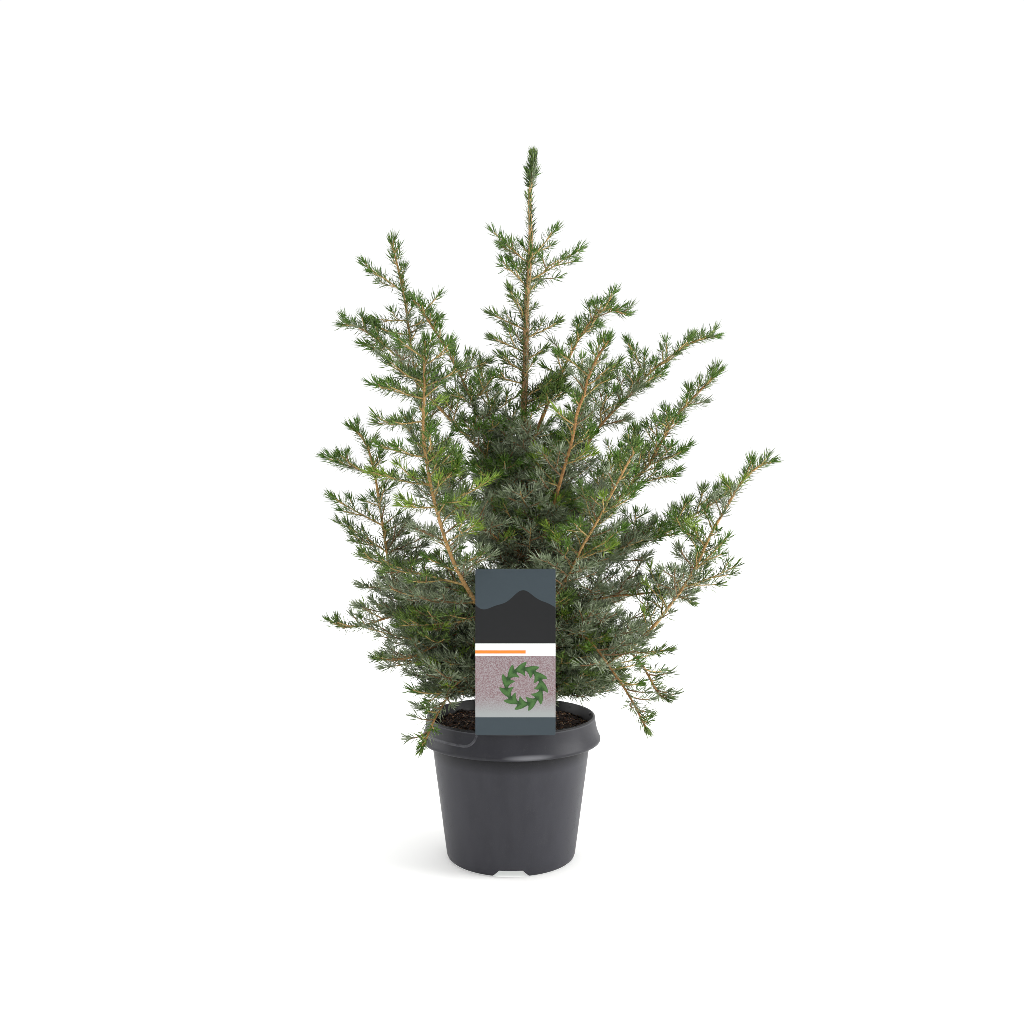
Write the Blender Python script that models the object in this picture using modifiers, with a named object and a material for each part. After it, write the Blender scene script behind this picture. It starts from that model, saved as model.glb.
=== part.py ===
"""Serbian spruce about 0.73 m tall above its soil, in a 23 cm grey plastic pot with a label.

The origin is at the centre of the pot's underside, +Z is up and the label faces -Y.
The trunk is one tapering, leaning stem. Each bough leaves it at a height and heading of its own and
carries one mass of needles, whose shape comes from its width, its thickness and its neighbours.
"""
import math
from collections import namedtuple

import bmesh
import bpy
import numpy as np
from mathutils import Vector, noise
from mathutils.bvhtree import BVHTree

GAP = 0.0003  # clearance between pieces that touch

# Pot, in metres
POT_HEIGHT = 0.1805
FOOT_RADIUS = 0.0818
WALL_SLOPE = 0.134  # how much the wall's radius grows for each metre of height
WALL = 0.002
COLLAR_RADIUS = 0.115
COLLAR_BOTTOM = 0.1475
COLLAR_WALL = 0.0019
COLLAR_FLARE = 0.7  # how much of the collar's flare comes in its lower part
RIM_RADIUS = 0.1078
BEAD = 0.0012  # radius of the rolled edges of the rim and of the collar's lip
LIP = 0.0016
LIP_START = 31  # degrees above level at which the flare runs into the lip
GROOVE_TOP = 0.1735  # the underside of the fold between collar and wall
FLOOR_UNDERSIDE = 0.009
FLOOR_TOP = 0.0115
CENTRE_FOOT_RADIUS = 0.011
POT_STEPS = 36
FOOT_EDGE = 0.0040
FOOT_RING = 0.0080
NOTCHES = 3
NOTCH_TOP_WIDTH = 0.028
NOTCH_FOOT_WIDTH = 0.045
NOTCH_HEIGHT = 0.0085
NOTCH_DEPTH = 0.020

# Soil
SOIL_TOP = 0.168
SOIL_EDGE_DROP = 0.0015

# Label
CARD_WIDTH = 0.094
CARD_HEIGHT = 0.195
CARD_THICKNESS = 0.0008
CARD_BOTTOM = 0.1786
CARD_CENTRE_X = 0.0053
CARD_BACK_Y = -0.1106
STAKE_WIDTH = 0.012
STAKE_THICKNESS = 0.0014
STAKE_LEG_Y = -0.0880
STAKE_FOOT = 0.125
STAKE_BRIDGE = 0.1865
STAKE_TOP = 0.215

# Trunk: height above the floor and how far the stem's centre leans to +X there
TRUNK_LEAN = (
    (0.168, 0.003), (0.300, 0.016), (0.443, 0.031), (0.505, 0.027), (0.559, 0.0155),
    (0.634, 0.0193), (0.700, 0.0193), (0.791, 0.0264), (0.849, 0.0226), (0.898, 0.0310),
)
TRUNK_BUTT = 0.0066
TRUNK_TIP = 0.0019
TAPER_POWER = 0.85
FLARE = 0.0050
FLARE_HEIGHT = 0.012
FLARE_LOBES = 5
TRUNK_TURN = 0.2  # radians that the rings are turned by
TRUNK_SIDES = 10
TRUNK_RINGS = 16

# Boughs: metres and degrees. A heading of 0 is +X, 90 is the back, -90 the front.
Bough = namedtuple(
    "Bough",
    "place leaves_at heading reach tip_height rise pull tip_rise tip_pull swing butt bare wide thick",
)
BOUGHS = [
    Bough("high_left", 0.432, 160, 0.206, 0.810, -19, 0.185, 70, 0.142, -1, 0.0030, 0.40, 0.040, 0.032),
    Bough("front_left", 0.262, -133, 0.165, 0.639, 30, 0.279, 85, 0.049, -8, 0.0037, 0.30, 0.054, 0.044),
    Bough("inner_left", 0.400, -172, 0.151, 0.709, 13, 0.106, 52, 0.268, 9, 0.0030, 0.46, 0.042, 0.034),
    Bough("upper_left", 0.470, 164, 0.270, 0.696, 27, 0.136, 3, 0.093, -18, 0.0030, 0.26, 0.046, 0.038),
    Bough("far_left", 0.285, -175, 0.220, 0.548, -9, 0.250, 27, 0.087, 3, 0.0034, 0.36, 0.056, 0.056),
    Bough("low_left", 0.325, 169, 0.256, 0.294, 8, 0.118, 85, 0.033, -1, 0.0030, 0.22, 0.046, 0.034),
    Bough("low_front_left", 0.230, -155, 0.188, 0.264, 57, 0.149, 15, 0.093, 1, 0.0028, 0.26, 0.046, 0.040),
    Bough("rim_left", 0.208, -138, 0.150, 0.162, 43, 0.099, -58, 0.079, 5, 0.0026, 0.30, 0.044, 0.030),
    Bough("high_right", 0.520, 24, 0.145, 0.708, 68, 0.249, 3, 0.039, 10, 0.0028, 0.26, 0.040, 0.032),
    Bough("front_middle", 0.335, -57, 0.168, 0.636, 63, 0.282, 35, 0.086, -4, 0.0036, 0.26, 0.046, 0.036),
    Bough("upper_right", 0.425, 11, 0.251, 0.675, 60, 0.095, 3, 0.085, 11, 0.0032, 0.24, 0.050, 0.034),
    Bough("right", 0.372, -7, 0.244, 0.619, 34, 0.271, 41, 0.169, 0, 0.0034, 0.26, 0.052, 0.038),
    Bough("front_right", 0.302, -45, 0.183, 0.516, 0, 0.049, 56, 0.188, 4, 0.0034, 0.22, 0.050, 0.040),
    Bough("far_right", 0.215, -5, 0.321, 0.503, 4, 0.243, 10, 0.087, 5, 0.0037, 0.40, 0.054, 0.044),
    Bough("inner_right", 0.348, 16, 0.298, 0.473, 18, 0.142, 33, 0.137, 0, 0.0030, 0.22, 0.048, 0.038),
    Bough("low_right", 0.305, 5, 0.219, 0.322, 17, 0.072, -41, 0.041, 1, 0.0028, 0.20, 0.050, 0.042),
    Bough("rim_right", 0.270, -17, 0.187, 0.211, 26, 0.166, 10, 0.024, -4, 0.0028, 0.27, 0.048, 0.034),
    Bough("rim_front", 0.238, -37, 0.185, 0.188, 68, 0.130, -59, 0.099, -2, 0.0026, 0.30, 0.046, 0.030),
    Bough("front_short", 0.385, -137, 0.131, 0.450, 13, 0.050, 31, 0.051, 0, 0.0024, 0.24, 0.050, 0.044),
    Bough("back_high_left", 0.480, 122, 0.140, 0.650, 25, 0.080, 60, 0.080, -6, 0.0028, 0.24, 0.046, 0.036),
    Bough("back_high_right", 0.462, 58, 0.160, 0.650, 25, 0.080, 60, 0.080, 6, 0.0028, 0.24, 0.046, 0.038),
    Bough("back_left", 0.380, 140, 0.230, 0.575, 15, 0.100, 55, 0.100, -6, 0.0032, 0.24, 0.058, 0.046),
    Bough("back", 0.355, 96, 0.245, 0.530, 10, 0.100, 50, 0.100, -5, 0.0034, 0.22, 0.058, 0.046),
    Bough("back_right", 0.405, 48, 0.235, 0.560, 15, 0.100, 50, 0.100, 6, 0.0032, 0.24, 0.058, 0.046),
    Bough("back_low_left", 0.240, 128, 0.205, 0.335, 20, 0.080, 25, 0.080, -5, 0.0030, 0.26, 0.056, 0.036),
    Bough("back_low_right", 0.262, 45, 0.225, 0.330, 20, 0.080, 20, 0.080, 5, 0.0030, 0.26, 0.056, 0.036),
]
LIMB_POINTS = 6
LIMB_SHRINK = 0.45  # how much of its butt radius a limb has lost where its needles begin

# Masses of needles
LEADER_MASSES = (
    ("leader_low", 0.585, 0.706, 0.044, 0.042),
    ("leader_top", 0.709, 0.908, 0.054, 0.046),
)
LEADER_NECK = (0.36, 0.60)  # shares of the top mass between which it narrows to the leader's brush
LEADER_BRUSH = 0.22
MASS_RINGS = 9
MASS_SIDES = 9
MASS_ROOM = 0.006  # the least room that belongs to a mass round its axis
AXIS_SAMPLES = 30
LIMB_SAMPLES = 24
TRUNK_SAMPLES = 120
MASS_START = 0.40  # a mass's first ring, as a share of its full width
SWELL_SHARE = 0.30  # how much of its length it takes to reach full width
TAPER_SHARE = 0.60  # and to narrow again towards its tip
TIP_BRUSH = 0.26  # the needles round the last shoot, as a share of the full width
LUMP = 0.30
LUMP_SIZE = 0.032
NEIGHBOUR_MARGIN = 0.16  # a mass stops this share short of where its neighbour's room begins
NEIGHBOUR_GAP = 0.03
LIMB_CLEARANCE = 0.0100
MIN_RADIUS = 0.004
MARCH_STEPS = 14
FOLD_SHARE = 0.85  # a point this much nearer to another part of its own axis is inside a bend


# ---------- helpers ----------

def clear_scene():
    for obj in list(bpy.data.objects):
        bpy.data.objects.remove(obj, do_unlink=True)


def new_collection(name):
    collection = bpy.data.collections.new(name)
    bpy.context.scene.collection.children.link(collection)
    return collection


def finish(name, colour, roughness):
    material = bpy.data.materials.new(name)
    material.use_nodes = True
    shader = material.node_tree.nodes["Principled BSDF"]
    shader.inputs["Base Color"].default_value = (*colour, 1.0)
    shader.inputs["Roughness"].default_value = roughness
    shader.inputs["Metallic"].default_value = 0.0
    return material


def add_mesh(name, verts, faces, collection, material=None):
    mesh = bpy.data.meshes.new(name)
    mesh.from_pydata([tuple(v) for v in verts], [], faces)
    mesh.validate()
    obj = bpy.data.objects.new(name, mesh)
    collection.objects.link(obj)
    if material:
        mesh.materials.append(material)
        mesh.shade_smooth()
        mesh.set_sharp_from_angle(angle=math.radians(40))
    return obj


def as_cutter(obj):
    obj.hide_render = True
    obj.display_type = "WIRE"
    return obj


def cut(obj, cutter, name):
    modifier = obj.modifiers.new(name, "BOOLEAN")
    modifier.operation = "DIFFERENCE"
    modifier.solver = "EXACT"
    modifier.object = cutter


def loft(rings, start=None, end=None):
    """Vertices and faces of a closed skin over rings of equal length, with a middle point on each end."""
    sides = len(rings[0])
    verts = [v for ring in rings for v in ring]
    faces = []
    for i in range(len(rings) - 1):
        for j in range(sides):
            a, b = i * sides + j, i * sides + (j + 1) % sides
            faces.append((a, b, b + sides, a + sides))
    last = (len(rings) - 1) * sides
    verts += [start, end]
    first_mid, last_mid = len(verts) - 2, len(verts) - 1
    for j in range(sides):
        k = (j + 1) % sides
        faces.append((first_mid, k, j))
        faces.append((last_mid, last + j, last + k))
    return verts, faces


def arc(centre, radius, from_deg, to_deg, steps):
    angles = [math.radians(from_deg + (to_deg - from_deg) * i / steps) for i in range(steps + 1)]
    return [(centre[0] + radius * math.cos(a), centre[1] + radius * math.sin(a)) for a in angles]


# ---------- pot and soil ----------

def wall_radius(z):
    return FOOT_RADIUS + WALL_SLOPE * z


def turned(name, profile, steps, collection, material):
    mesh = bpy.data.meshes.new(name)
    points = [(r, 0.0, z) for r, z in profile]
    mesh.from_pydata(points, [(i, i + 1) for i in range(len(points) - 1)], [])
    obj = bpy.data.objects.new(name, mesh)
    collection.objects.link(obj)
    mesh.materials.append(material)
    screw = obj.modifiers.new("Turn", "SCREW")
    screw.axis = "Z"
    screw.angle = math.tau
    screw.steps = steps
    screw.render_steps = steps
    screw.use_merge_vertices = True
    screw.merge_threshold = 0.00005
    screw.use_smooth_shade = True
    return obj


def collar_radius(z):
    """The collar's outer face: a flare from the rim that quickens towards the lip."""
    high = POT_HEIGHT - BEAD
    low = COLLAR_BOTTOM + LIP * (1.0 + math.sin(math.radians(LIP_START)))
    at_lip = COLLAR_RADIUS - LIP * (1.0 - math.cos(math.radians(LIP_START)))
    drop = (high - z) / (high - low)
    return RIM_RADIUS + (at_lip - RIM_RADIUS) * ((1.0 - COLLAR_FLARE) * drop + COLLAR_FLARE * drop ** 3)


def pot_profile():
    """From the middle of the floor up the inside, over the rim, down the outside and under the foot."""
    corner = 0.004
    inner_foot = wall_radius(FLOOR_TOP) - WALL
    profile = [(0.0, FLOOR_TOP), (inner_foot - corner, FLOOR_TOP)]
    profile.append((inner_foot + corner / 10, FLOOR_TOP + corner))
    profile.append((wall_radius(GROOVE_TOP) - WALL, GROOVE_TOP))
    profile += arc((RIM_RADIUS - BEAD, POT_HEIGHT - BEAD), BEAD, 180, 0, 3)
    profile += [(collar_radius(z), z) for z in (0.1700, 0.1610, 0.1560)]
    profile += arc((COLLAR_RADIUS - LIP, COLLAR_BOTTOM + LIP), LIP, LIP_START, -150, 4)
    profile += [(collar_radius(z) - COLLAR_WALL, z) for z in (0.1580, 0.1690, GROOVE_TOP)]
    profile += [(wall_radius(z), z) for z in (GROOVE_TOP - 0.002, FOOT_EDGE)]
    profile += arc((FOOT_RADIUS - FOOT_EDGE, FOOT_EDGE), FOOT_EDGE, -20, -90, 3)
    profile += [(FOOT_RADIUS - FOOT_RING + 0.0005, 0.0), (FOOT_RADIUS - FOOT_RING, FLOOR_UNDERSIDE)]
    profile += [(CENTRE_FOOT_RADIUS + 0.001, FLOOR_UNDERSIDE), (CENTRE_FOOT_RADIUS, 0.0), (0.0, 0.0)]
    return profile


def notch_cutter(heading, collection):
    """A tapered block through the foot ring, below the floor."""
    half_foot, half_top = NOTCH_FOOT_WIDTH / 2, NOTCH_TOP_WIDTH / 2
    below = -0.002
    half_below = half_foot + (half_foot - half_top) * -below / NOTCH_HEIGHT
    outline = [(-half_below, below), (half_below, below), (half_top, NOTCH_HEIGHT), (-half_top, NOTCH_HEIGHT)]
    near, far = FOOT_RADIUS - NOTCH_DEPTH, FOOT_RADIUS + NOTCH_DEPTH
    rings = [[(y, x, z) for x, z in outline] for y in (near, far)]
    mid = NOTCH_HEIGHT / 2
    verts, faces = loft(rings, (near, 0.0, mid), (far, 0.0, mid))
    obj = add_mesh(f"notch_cutter_{heading}", verts, faces, collection)
    obj.rotation_euler.z = math.radians(heading)
    return as_cutter(obj)


def make_pot(parts, cutters):
    material = finish("pot_grey_plastic", (0.055, 0.057, 0.063), 0.5)
    pot = turned("pot", pot_profile(), POT_STEPS, parts, material)
    for i in range(NOTCHES):
        heading = -90 + 360 * i // NOTCHES
        cut(pot, notch_cutter(heading, cutters), f"Notch {i + 1}")


def make_soil(parts, cutters):
    bottom = FLOOR_TOP + GAP
    low, high = FLOOR_TOP + 0.006, SOIL_TOP - SOIL_EDGE_DROP
    side = -WALL - 2 * GAP
    profile = [(0.0, SOIL_TOP), (0.07, SOIL_TOP), (wall_radius(high) + side, high)]
    profile += [(wall_radius(low) + side, low), (wall_radius(bottom) - WALL - 0.006, bottom), (0.0, bottom)]
    soil = turned("soil", profile, POT_STEPS, parts, finish("soil_peat", (0.030, 0.018, 0.012), 0.95))
    bpy.ops.mesh.primitive_cube_add(size=1.0)
    slot = bpy.context.object
    slot.name = "stake_slot_cutter"
    height = 0.10
    slot.scale = (STAKE_WIDTH + 2 * GAP, STAKE_THICKNESS + 2 * GAP, height)
    slot.location = (CARD_CENTRE_X, STAKE_LEG_Y, STAKE_FOOT - GAP + height / 2)
    for home in list(slot.users_collection):
        home.objects.unlink(slot)
    cutters.objects.link(slot)
    cut(soil, as_cutter(slot), "Stake slot")


# ---------- label ----------

def make_label(parts):
    bpy.ops.mesh.primitive_cube_add(size=1.0)
    card = bpy.context.object
    card.name = "label_card"
    card.dimensions = (CARD_WIDTH, CARD_THICKNESS, CARD_HEIGHT)
    card.location = (CARD_CENTRE_X, CARD_BACK_Y - CARD_THICKNESS / 2, CARD_BOTTOM + CARD_HEIGHT / 2)
    card.data.materials.append(finish("label_printed_plastic", (0.10, 0.12, 0.14), 0.4))
    for home in list(card.users_collection):
        home.objects.unlink(card)
    parts.objects.link(card)

    # The stake is one bent strip: up out of the soil, over the rim and up the back of the card.
    t = STAKE_THICKNESS
    front = CARD_BACK_Y + GAP
    back = STAKE_LEG_Y + t / 2
    outline = [
        (front, STAKE_BRIDGE), (front, STAKE_TOP), (front + t, STAKE_TOP), (front + t, STAKE_BRIDGE + t),
        (back, STAKE_BRIDGE + t), (back, STAKE_FOOT), (back - t, STAKE_FOOT), (back - t, STAKE_BRIDGE),
    ]
    curve = bpy.data.curves.new("label_stake", "CURVE")
    curve.dimensions = "2D"
    curve.fill_mode = "BOTH"
    curve.extrude = STAKE_WIDTH / 2
    spline = curve.splines.new("POLY")
    spline.points.add(len(outline) - 1)
    for point, (y, z) in zip(spline.points, outline):
        point.co = (y, z, 0.0, 1.0)
    spline.use_cyclic_u = True
    stake = bpy.data.objects.new("label_stake", curve)
    stake.rotation_euler = (math.radians(90), 0.0, math.radians(90))
    stake.location.x = CARD_CENTRE_X
    curve.materials.append(finish("stake_plastic", (0.45, 0.45, 0.44), 0.45))
    parts.objects.link(stake)


# ---------- trunk ----------

def lean(z):
    heights = [h for h, _ in TRUNK_LEAN]
    return float(np.interp(z, heights, [x for _, x in TRUNK_LEAN]))


def trunk_axis(z):
    """The stem's centre, with the corners of the lean rounded off."""
    reach = 0.025
    samples = [lean(z + reach * k) for k in (-1.0, -0.5, 0.0, 0.5, 1.0)]
    return Vector((sum(samples) / len(samples), 0.0, z))


def trunk_radius(z):
    low, high = TRUNK_LEAN[0][0], TRUNK_LEAN[-1][0]
    share = min(1.0, max(0.0, (z - low) / (high - low)))
    return TRUNK_TIP + (TRUNK_BUTT - TRUNK_TIP) * (1.0 - share) ** TAPER_POWER


def trunk_mesh(extra, overrun):
    """The stem's skin, extra thicker all round and overrun longer at both ends."""
    base, tip = SOIL_TOP + GAP, TRUNK_LEAN[-1][0]
    rings = []
    for i in range(TRUNK_RINGS):
        z = base + (tip - base) * (i / (TRUNK_RINGS - 1)) ** 1.4
        swell = FLARE * math.exp(-(z - base) / FLARE_HEIGHT)
        centre = trunk_axis(z)
        centre.z += overrun * ((i == TRUNK_RINGS - 1) - (i == 0))
        ring = []
        for j in range(TRUNK_SIDES):
            a = math.tau * j / TRUNK_SIDES + TRUNK_TURN
            radius = trunk_radius(z) + extra + swell * (0.75 + 0.25 * math.cos(FLARE_LOBES * a))
            ring.append(centre + Vector((radius * math.cos(a), radius * math.sin(a), 0.0)))
        rings.append(ring)
    foot, top = rings[0], rings[-1]
    return loft(rings, sum(foot, Vector()) / len(foot), sum(top, Vector()) / len(top))


def make_trunk(parts, cutters, bark):
    """Adds the stem, and returns the slightly larger one that cuts its room out of the boughs."""
    add_mesh("trunk", *trunk_mesh(0.0, 0.0), parts, bark)
    return as_cutter(add_mesh("trunk_cutter", *trunk_mesh(GAP, GAP), cutters))


# ---------- boughs ----------

def pointing(heading, rise):
    a, e = math.radians(heading), math.radians(rise)
    return Vector((math.cos(a) * math.cos(e), math.sin(a) * math.cos(e), math.sin(e)))


def bough_point(b, t):
    """Where bough b is at share t of its curve: a Bezier from the trunk's centre to its tip."""
    start = trunk_axis(b.leaves_at)
    out = pointing(b.heading, 0.0) * b.reach
    tip = Vector((start.x + out.x, start.y + out.y, b.tip_height))
    leaving = start + pointing(b.heading - b.swing, b.rise) * b.pull
    arriving = tip - pointing(b.heading + b.swing, b.tip_rise) * b.tip_pull
    u = 1.0 - t
    return u ** 3 * start + 3 * u * u * t * leaving + 3 * u * t * t * arriving + t ** 3 * tip


def bough_direction(b, t):
    step = 0.01
    return (bough_point(b, min(1.0, t + step)) - bough_point(b, max(0.0, t - step))).normalized()


def limb_radius(b, t):
    return b.butt * (1.0 - LIMB_SHRINK * t / b.bare)


def limb_mesh(b, name, extra, from_t, collection, material=None):
    """A tapering round limb from share from_t of the bough to where its needles begin."""
    curve = bpy.data.curves.new(name, "CURVE")
    curve.dimensions = "3D"
    curve.bevel_depth = 1.0
    curve.bevel_resolution = 1
    curve.use_fill_caps = True
    spline = curve.splines.new("POLY")
    spline.points.add(LIMB_POINTS - 1)
    for i, point in enumerate(spline.points):
        t = from_t + (b.bare - from_t) * i / (LIMB_POINTS - 1)
        point.co = (*bough_point(b, t), 1.0)
        point.radius = limb_radius(b, t) + extra
    guide = bpy.data.objects.new(name + "_curve", curve)
    collection.objects.link(guide)
    bpy.context.view_layer.update()
    seen = guide.evaluated_get(bpy.context.evaluated_depsgraph_get())
    mesh = bpy.data.meshes.new_from_object(seen)
    mesh.name = name
    bpy.data.objects.remove(guide, do_unlink=True)
    work = bmesh.new()
    work.from_mesh(mesh)
    bmesh.ops.remove_doubles(work, verts=work.verts, dist=0.00001)
    bmesh.ops.recalc_face_normals(work, faces=work.faces)
    work.to_mesh(mesh)
    work.free()
    obj = bpy.data.objects.new(name, mesh)
    collection.objects.link(obj)
    if material:
        mesh.materials.append(material)
        mesh.shade_smooth()
        mesh.set_sharp_from_angle(angle=math.radians(50))
    return obj


# ---------- masses of needles ----------

Mass = namedtuple("Mass", "name axis across wide thick profile")


def bough_mass(b):
    """A mass along the outer part of a bough, wide to the sides and thinner up and down."""
    start = b.bare + GAP / b.reach

    def axis(s):
        return bough_point(b, start + (1.0 - start) * s)

    def across(s):
        along = bough_direction(b, start + (1.0 - start) * s)
        side = Vector((0.0, 0.0, 1.0)).cross(pointing(b.heading, 0.0))
        side = (side - along * side.dot(along)).normalized()
        return side, along.cross(side)

    def profile(s):
        swelling = MASS_START + (1.0 - MASS_START) * min(1.0, s / SWELL_SHARE)
        tapering = TIP_BRUSH + (1.0 - TIP_BRUSH) * min(1.0, (1.0 - s) / TAPER_SHARE)
        return swelling * tapering * math.sqrt(max(0.0, 1.0 - s ** 12))

    return Mass(f"needles_{b.place}", axis, across, b.wide, b.thick, profile)


def leader_mass(name, low, high, wide, thick):
    def axis(s):
        return trunk_axis(low + (high - low) * s)

    def across(s):
        return Vector((1.0, 0.0, 0.0)), Vector((0.0, 1.0, 0.0))

    def profile(s):
        neck = min(1.0, max(0.0, (s - LEADER_NECK[0]) / (LEADER_NECK[1] - LEADER_NECK[0])))
        narrowing = 1.0 if high < TRUNK_LEAN[-1][0] else 1.0 - (1.0 - LEADER_BRUSH) * neck
        return (0.6 + 0.4 * min(1.0, s / 0.2)) * narrowing * math.sqrt(max(0.0, 1.0 - s ** 5))

    return Mass(f"needles_{name}", axis, across, wide, thick, profile)


def ring_shares():
    """Where a mass's rings stand, closer together towards its tip; the last ring is just short of it."""
    return [0.985 * (1.0 - (1.0 - i / (MASS_RINGS - 1)) ** 1.25) for i in range(MASS_RINGS)]


def samples_of(axis, radius_at, count):
    """Points along an axis with the room that belongs to each."""
    shares = [i / (count - 1) for i in range(count)]
    points = np.array([tuple(axis(s)) for s in shares])
    return points, np.array([radius_at(s) for s in shares])


def blocked(p):
    """Room taken by the pot's rim, the soil and the label."""
    if p.z < POT_HEIGHT + 0.006 and math.hypot(p.x, p.y) < COLLAR_RADIUS + 0.004:
        return True
    near_card = abs(p.y - CARD_BACK_Y) < 0.006 and p.z < CARD_BOTTOM + CARD_HEIGHT + 0.005
    return near_card and abs(p.x - CARD_CENTRE_X) < CARD_WIDTH / 2 + 0.005


def free_reach(centre, direction, wanted, own, others, stems):
    """How far a mass can grow along one direction before it meets a neighbour, a stem or the pot."""
    reach = MIN_RADIUS
    for k in range(1, MARCH_STEPS + 1):
        step = wanted * k / MARCH_STEPS
        p = centre + direction * step
        spot = np.array(tuple(p))
        to_own = np.linalg.norm(own[0] - spot, axis=1)
        mine = (to_own / own[1]).min()
        folded = to_own.min() < FOLD_SHARE * step - 0.002
        theirs = (np.linalg.norm(others[0] - spot, axis=1) / others[1]).min()
        stem = (np.linalg.norm(stems[0] - spot, axis=1) - stems[1]).min()
        crowded = mine * (1.0 + NEIGHBOUR_MARGIN) + NEIGHBOUR_GAP > theirs or stem < LIMB_CLEARANCE
        if folded or crowded or blocked(p):
            break
        reach = step
    return max(reach, MIN_RADIUS)


def mass_mesh(mass, own, others, stems):
    rings = []
    for s in ring_shares():
        centre = mass.axis(s)
        side, up = mass.across(s)
        ring = []
        for j in range(MASS_SIDES):
            a = math.tau * j / MASS_SIDES
            flat = side * (mass.wide * math.cos(a)) + up * (mass.thick * math.sin(a))
            full = flat.length * mass.profile(s)
            direction = flat.normalized()
            lump = noise.noise((centre + direction * full) / LUMP_SIZE)
            wanted = max(MIN_RADIUS, full * (1.0 + LUMP * lump))
            ring.append(centre + direction * free_reach(centre, direction, wanted, own, others, stems))
        rings.append(ring)
    return loft(rings, mass.axis(0.0), mass.axis(1.0))


def is_inside(tree, p):
    """Whether p is inside a closed skin, by counting its faces straight above p."""
    hits, start = 0, p
    while True:
        spot = tree.ray_cast(start, Vector((0.0, 0.0, 1.0)))[0]
        if spot is None:
            return hits % 2 == 1
        hits, start = hits + 1, spot + Vector((0.0, 0.0, 1e-6))


def pierces(stem, verts, faces):
    """Whether a stem, as points and radii, touches or enters a mass."""
    tree = BVHTree.FromPolygons([tuple(v) for v in verts], faces)
    for centre, radius in zip(*stem):
        if tree.find_nearest(Vector(centre))[3] < radius + 3 * GAP or is_inside(tree, Vector(centre)):
            return True
    return False


def make_masses(parts, trunk_cutter, limb_cutters, material):
    masses = [leader_mass(*row) for row in LEADER_MASSES] + [bough_mass(b) for b in BOUGHS]
    room = {}
    for m in masses:
        widest = max(m.wide, m.thick)
        room[m.name] = samples_of(m.axis, lambda s: max(MASS_ROOM, widest * m.profile(s)), AXIS_SAMPLES)
    limbs = {}
    for b in BOUGHS:
        limbs[b.place] = samples_of(
            lambda s: bough_point(b, b.bare * s), lambda s: limb_radius(b, b.bare * s), LIMB_SAMPLES
        )
    low, tall = TRUNK_LEAN[0][0], TRUNK_LEAN[-1][0] - TRUNK_LEAN[0][0]
    trunk = samples_of(
        lambda s: trunk_axis(low + tall * s), lambda s: trunk_radius(low + tall * s), TRUNK_SAMPLES
    )

    for m in masses:
        place = m.name.removeprefix("needles_")
        on_leader = place.startswith("leader")
        other_room = [v for k, v in room.items() if k != m.name]
        others = tuple(np.concatenate(column) for column in zip(*other_room))
        stem_list = [v for k, v in limbs.items() if k != place] + ([] if on_leader else [trunk])
        stems = tuple(np.concatenate(column) for column in zip(*stem_list))
        verts, faces = mass_mesh(m, room[m.name], others, stems)
        obj = add_mesh(m.name, verts, faces, parts, material)
        if pierces(trunk, verts, faces):
            cut(obj, trunk_cutter, "Trunk")
        for k, cutter in limb_cutters.items():
            if k != place and pierces(limbs[k], verts, faces):
                cut(obj, cutter, f"Limb {k}")


# ---------- the whole plant ----------

def build():
    clear_scene()
    parts = new_collection("potted_spruce")
    cutters = new_collection("cutters")
    make_pot(parts, cutters)
    make_soil(parts, cutters)
    make_label(parts)
    bark = finish("bark", (0.32, 0.16, 0.07), 0.8)
    trunk_cutter = make_trunk(parts, cutters, bark)
    limb_cutters = {}
    for b in BOUGHS:
        limb = limb_mesh(b, f"bough_{b.place}", 0.0, 0.0, parts, bark)
        cut(limb, trunk_cutter, "Saddle on the trunk")
        limb_cutters[b.place] = as_cutter(limb_mesh(b, f"cutter_{b.place}", 2 * GAP, 0.0, cutters))
    make_masses(parts, trunk_cutter, limb_cutters, finish("needles_green", (0.05, 0.09, 0.04), 0.6))


build()
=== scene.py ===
import math
from collections import namedtuple

import bpy
import numpy as np
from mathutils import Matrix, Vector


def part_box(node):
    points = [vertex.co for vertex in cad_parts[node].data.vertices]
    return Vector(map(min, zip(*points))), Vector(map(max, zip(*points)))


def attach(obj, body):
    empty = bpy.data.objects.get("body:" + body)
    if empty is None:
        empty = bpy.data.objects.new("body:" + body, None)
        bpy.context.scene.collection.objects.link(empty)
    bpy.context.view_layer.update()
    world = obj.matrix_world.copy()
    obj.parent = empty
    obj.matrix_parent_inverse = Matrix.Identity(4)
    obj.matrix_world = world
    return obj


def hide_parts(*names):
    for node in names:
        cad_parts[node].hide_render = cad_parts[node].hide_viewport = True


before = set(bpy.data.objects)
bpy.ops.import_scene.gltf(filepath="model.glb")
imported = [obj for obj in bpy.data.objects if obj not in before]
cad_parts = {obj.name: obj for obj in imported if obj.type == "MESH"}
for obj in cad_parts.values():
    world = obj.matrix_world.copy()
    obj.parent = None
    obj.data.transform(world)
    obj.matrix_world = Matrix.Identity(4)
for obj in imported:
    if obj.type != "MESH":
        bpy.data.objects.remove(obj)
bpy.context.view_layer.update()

# Serbian spruce in a nursery pot. Metres, +Z up; the label faces -Y.
# Headings are degrees round the pot: 0 is +X, 90 the back, -90 the front.


# ---------- Camera ----------
# A level camera a little over a metre in front of the pot, at about half the plant's height.
CAMERA_PLACE = (0.0013, -1.2256, 0.4402)
LENS = 33.42  # millimetres
SENSOR_WIDTH = 36.0  # millimetres

camera_data = bpy.data.cameras.new("camera")
camera_data.lens = LENS
camera_data.sensor_width = SENSOR_WIDTH
camera = bpy.data.objects.new("camera", camera_data)
camera.location = CAMERA_PLACE
camera.rotation_euler = (math.radians(90), 0.0, 0.0)
bpy.context.scene.collection.objects.link(camera)
bpy.context.scene.camera = camera


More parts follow.
